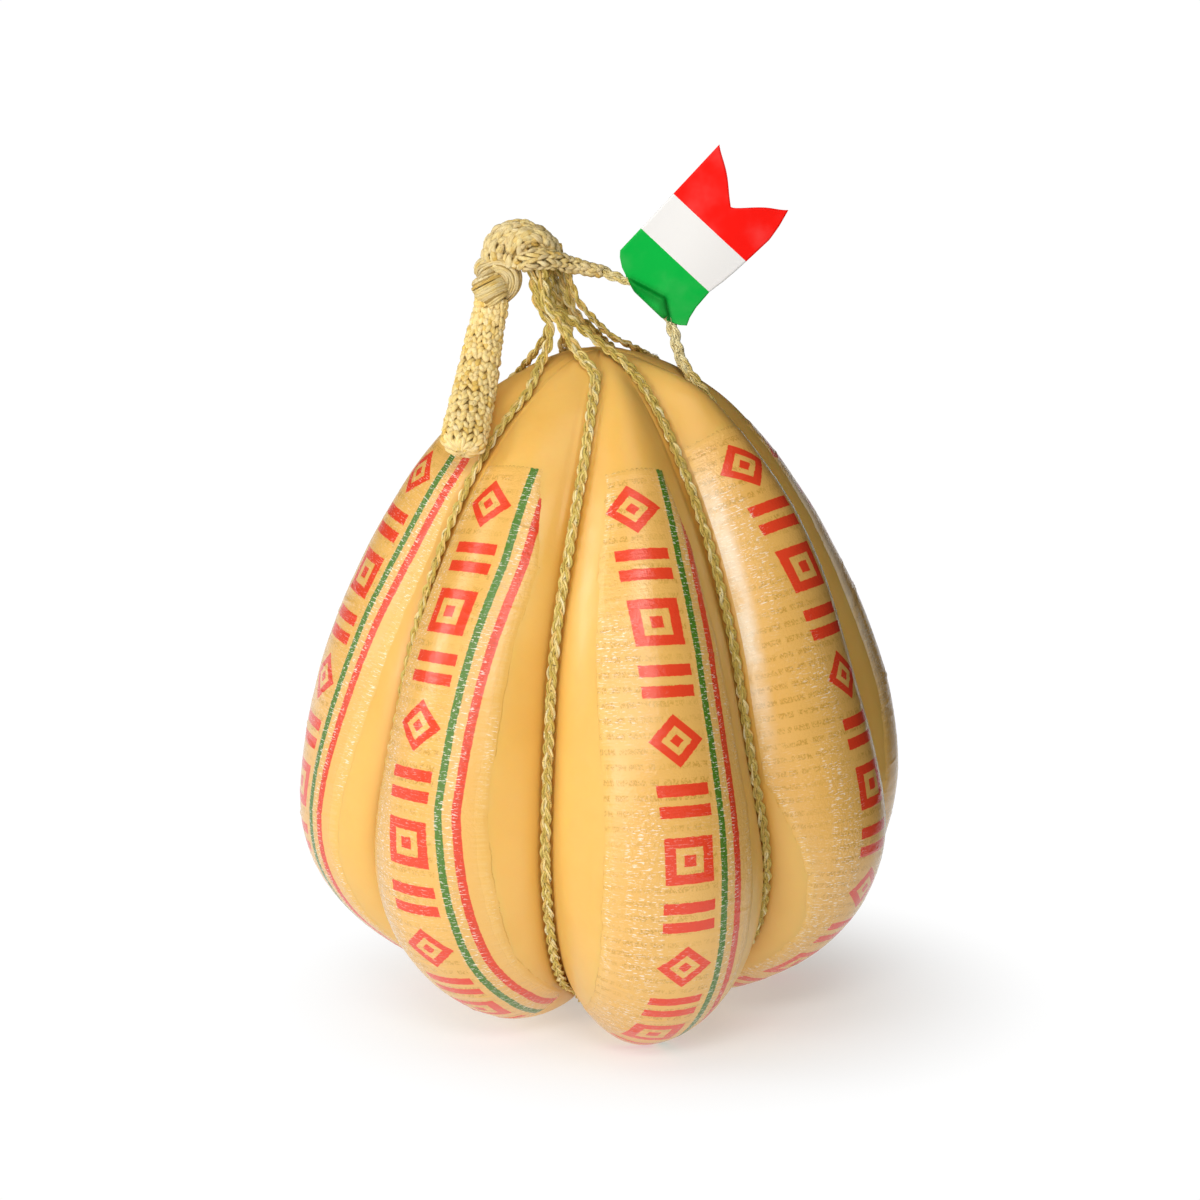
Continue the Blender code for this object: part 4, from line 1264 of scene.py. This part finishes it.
# %% The knot
KNOT_FACING = (0.1, -1.0, 0.3)
ARCH = (
    (-30.2, -0.6, 223.6), (-30.9, -1.0, 228.2), (-29.6, -1.0, 232.0), (-26.4, -1.0, 234.2), (-22.4, -1.0, 234.6),
    (-18.4, -1.0, 233.2), (-15.4, -1.2, 230.6), (-13.8, -1.4, 227.6),
)
FOLD = (
    (-25.4, -4.4, 225.4), (-24.8, -5.0, 229.2), (-23.6, -5.2, 232.2), (-20.8, -5.0, 233.8), (-17.4, -4.4, 232.8),
    (-14.6, -2.8, 230.4),
)
BUMP = ((-25.2, -2.0, 235.0), (-23.6, -2.4, 236.5), (-21.2, -2.4, 236.6), (-19.6, -2.0, 235.0))
MIDDLE = ((-28.4, 0.0, 226.0), (-23.0, -0.6, 229.0), (-17.0, -0.4, 228.4))
ARCH_HALF = (2.7, 2.8, 2.8, 2.5, 2.3, 2.2, 2.1, 1.7)
FOLD_HALF = (1.9, 2.2, 2.1, 1.9, 1.7, 1.3)
BUMP_HALF = (0.6, 0.8, 0.8, 0.6)
MIDDLE_HALF = (3.5, 4.6, 3.8)
# The cord that carries the label starts as a knitted sleeve, which thins into the plait.
SLEEVE, SLEEVE_HALF = CORD_FREE[TAG_CORD][:6], (2.2, 2.3, 2.1, 1.7, 1.4, 1.0)

# Route, half width, depth over width, columns, pitch and leg in mm, and seed of each knitted part.
KNITTED = (
    (ARCH, ARCH_HALF, 1.35, 8, 2.6, 0.92, 31),
    (FOLD, FOLD_HALF, 1, 6, 2.6, 0.92, 32),
    (BUMP, BUMP_HALF, 1, 4, 2.2, 0.75, 33),
    (SLEEVE, SLEEVE_HALF, 1, 5, 2.4, 0.72, 34),
)
CORES = ((ARCH, ARCH_HALF, 1.35, 0.3), (FOLD, FOLD_HALF, 1, 0.3), (MIDDLE, MIDDLE_HALF, 1, 0))

knot_bundle, knot_core_bundle = Bundle(74), Bundle(75)
for route, half, depth, stitches, pitch, leg, seed in KNITTED:
    route, half = np.array(route) * MM, np.array(half) * MM
    knit(knot_bundle, route, KNOT_FACING, half, half * depth, stitches, pitch * MM, leg * MM, seed)
for route, half, depth, sunk in CORES:
    route, half = np.array(route) * MM, np.array(half) * MM
    core(knot_core_bundle, route, KNOT_FACING, half, half * depth, sunk * MM)
knot = knot_bundle.piece("knitted_knot", knit_finish)
dress([knot, knot_core_bundle.piece("knot_core", core_shade_finish)], "knot_top")
print("knot:", len(knot.data.polygons), "faces")

# %% [markdown]
# ## The flag label
#
# A strip of coated label stock, printed green, white and red, is folded round its cord in the middle of its
# length and stuck to itself, with a swallow-tail end. Over the cord the two layers stand apart. Where they come
# together the stock has creased, and along the crease the green is darkened with painted shade. It is a grid that
# goes up the front layer, round the cord and down the back.

# %% Numbers of the label
TAG_CENTRE = Vector((14.4, -2.0, 215.5)) * MM
TAG_ALONG = Vector((0.681, 0.0, 0.7325)).normalized()
TAG_FACE = Vector((0.0, -1.0, 0.0))
TAG_SIDE = TAG_ALONG.cross(TAG_FACE)
TAG_START = (
    (-15.6, 4.3), (-14.3, 2.8), (-11.8, 1.0), (-9.2, 0.0), (7.5, 0.0), (8.2, -1.3), (9.6, -0.9), (12.1, 0.0),
    (13.9, 1.5),
)
TAG_END = ((0.0, 46.8), (0.505, 35.7), (1.0, 46.5))
TAG_LEFT, TAG_WIDEST = -15.6, 13.9
TAG_RIGHT = (
    (1.5, 13.9), (3.8, 12.9), (7.2, 12.2), (13.4, 11.9), (17.8, 12.7), (22.8, 13.3), (30.6, 13.9), (36.6, 14.3),
    (41.6, 13.6), (46.5, 12.4),
)
TAG_FOLD_DEPTH = ((-9.2, 0.1), (-6.8, 1.0), (-4.4, 1.8), (6.9, 1.9), (7.5, 1.7))
TAG_FOLD_FROM, TAG_FOLD_TO = -9.2, 7.5
TAG_CREASE = ((-15.6, -3.0), (-7.5, 0.3), (3.4, 3.4), (9.2, -0.7), (13.9, -3.0))
TAG_GREEN_TO, TAG_WHITE_TO = 13.3, 27.2
TAG_THICKNESS = 0.16 * MM
TAG_HUG = 1.9
TAG_APART = 0.3
TAG_DENT, TAG_RIDGE = -0.22, 0.30
TAG_COLUMNS, TAG_ROWS, TAG_FOLD_ROWS = 48, 56, 8
TAG_MIDDLE_ROW = TAG_FOLD_ROWS + TAG_ROWS
TAG_GREEN, TAG_WHITE, TAG_RED = (0.0, 0.43, 0.050), (0.80, 0.79, 0.78), (0.92, 0.007, 0.003)
TAG_PAINTED_SHADE, TAG_HANDLED = (0.0, 0.11, 0.005), (0.80, 0.80, 0.80)
TAG_GLOSS = (0.36, 0.48)


# %% Make the label
def read(table, x):
    """The value of a table of pairs at x."""
    return np.interp(x, *np.array(table).T)


def tag_layer(c, d):
    """How far a layer stands from the label's middle plane, in mm, at c across and d from the fold."""
    past_crease = d - read(TAG_CREASE, c)
    hug = TAG_HUG * (1 - smooth_step((past_crease + 0.9) / 1.3))
    dent = TAG_DENT * np.exp(-((past_crease / 0.7) ** 2))
    ridge = TAG_RIDGE * np.exp(-(((c - 3.6 + 0.25 * d) / 1.6) ** 2)) * np.exp(-((d / 8.0) ** 2))
    return TAG_APART + hug + dent + ridge


even_columns = np.linspace(TAG_LEFT, TAG_WIDEST, TAG_COLUMNS - 1)
tag_nominal = np.unique(np.concatenate([even_columns, [TAG_FOLD_FROM, TAG_FOLD_TO]]))
tag_share = (tag_nominal - TAG_LEFT) / (TAG_WIDEST - TAG_LEFT)
tag_start = read(TAG_START, tag_nominal)
tag_end = read(TAG_END, tag_share)
tag_end = tag_end + 0.9 * np.sin(math.pi * np.interp(tag_share, (0, TAG_END[1][0], 1), (0, 1, 2))) ** 2
rows = []
for row in range(-TAG_MIDDLE_ROW, TAG_MIDDLE_ROW + 1):
    way = 1.0 if row >= 0 else -1.0
    if abs(row) < TAG_FOLD_ROWS:
        turn = math.pi / 2 * abs(row) / TAG_FOLD_ROWS
        c = tag_nominal
        d = -read(TAG_FOLD_DEPTH, c) * math.cos(turn)
        n = tag_layer(c, 0 * c) * math.sin(turn) * way
    else:
        d = tag_start + ((abs(row) - TAG_FOLD_ROWS) / TAG_ROWS) ** 1.3 * (tag_end - tag_start)
        c = TAG_LEFT + tag_share * (read(TAG_RIGHT, d) - TAG_LEFT)
        n = tag_layer(c, d) * way
    bow = 0.7 * np.sin((d + 4) / 54 * math.pi) + 0.4 * np.sin(c * 0.16 + d * 0.05)
    rows.append(np.stack([c, d, n + bow], -1))
flat_tag = np.array(rows)
tag_points = np.array(TAG_CENTRE)
for i, way in enumerate((TAG_SIDE, TAG_ALONG, TAG_FACE)):
    tag_points = tag_points + flat_tag[..., i, None] * MM * np.array(way)
tag_faces = grid_faces(*flat_tag.shape[:2])
row_of, column_of = np.divmod(tag_faces[:, 0], len(tag_nominal))
c_of = tag_nominal[column_of]
in_fold = (row_of >= TAG_MIDDLE_ROW - TAG_FOLD_ROWS) & (row_of < TAG_MIDDLE_ROW + TAG_FOLD_ROWS)
kept = ~in_fold | ((c_of >= TAG_FOLD_FROM) & (c_of < TAG_FOLD_TO))
print("label grid:", flat_tag.shape[:2])

# %% The label's finish
tag_finish, tree, shader = new_material("label_stock")
place = object_place(tree)
_, away, from_crease = add_node(tree, "ShaderNodeSeparateXYZ", {0: from_mesh(tree, "label")}).outputs
colour = blend(tree, rescale(tree, away, TAG_GREEN_TO - 0.05, TAG_GREEN_TO + 0.05), TAG_GREEN, TAG_WHITE)
colour = blend(tree, rescale(tree, away, TAG_WHITE_TO - 0.05, TAG_WHITE_TO + 0.05), colour, TAG_RED)
# Painted shade along the crease: a wide soft band and a narrow dark line.
wide_painted_shade = times(tree, inside(tree, from_crease, -3.0, 0.3, 1.6), 0.55)
narrow_painted_shade = times(tree, inside(tree, from_crease, -0.9, 0.2, 0.6), 0.7)
colour = blend(tree, most_of(tree, wide_painted_shade, narrow_painted_shade), colour, TAG_PAINTED_SHADE)
handled = noise_at(tree, place, 90, 3)
set_inputs(tree, shader, {
    "Base Color": blend(tree, rescale(tree, handled, 0.45, 0.9, 0.0, 0.06), colour, TAG_HANDLED),
    "Roughness": rescale(tree, handled, 0.3, 0.7, *TAG_GLOSS),
    "Normal": relief(tree, noise_at(tree, place, 240, 2), 0.1 * MM, 0.35),
    "Specular IOR Level": 0.08,
})
crease_of = flat_tag[..., 1] - read(TAG_CREASE, flat_tag[..., 0])
tag = mesh_piece("flag_label", tag_points.reshape(-1, 3), tag_faces[kept], tag_finish)
store(tag, "label", np.stack([flat_tag[..., 0], flat_tag[..., 1], crease_of], -1).reshape(-1, 3))
bpy.ops.object.select_all(action="DESELECT")
bpy.context.view_layer.objects.active = tag
tag.select_set(True)
bpy.ops.object.mode_set(mode="EDIT")
bpy.ops.mesh.select_all(action="SELECT")
bpy.ops.mesh.delete_loose()
bpy.ops.mesh.select_all(action="SELECT")
bpy.ops.mesh.normals_make_consistent(inside=False)
bpy.ops.object.mode_set(mode="OBJECT")
thicken(tag, TAG_THICKNESS, 0.0)
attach(tag, "root")
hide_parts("tag")
print("label:", len(tag.data.polygons), "faces")
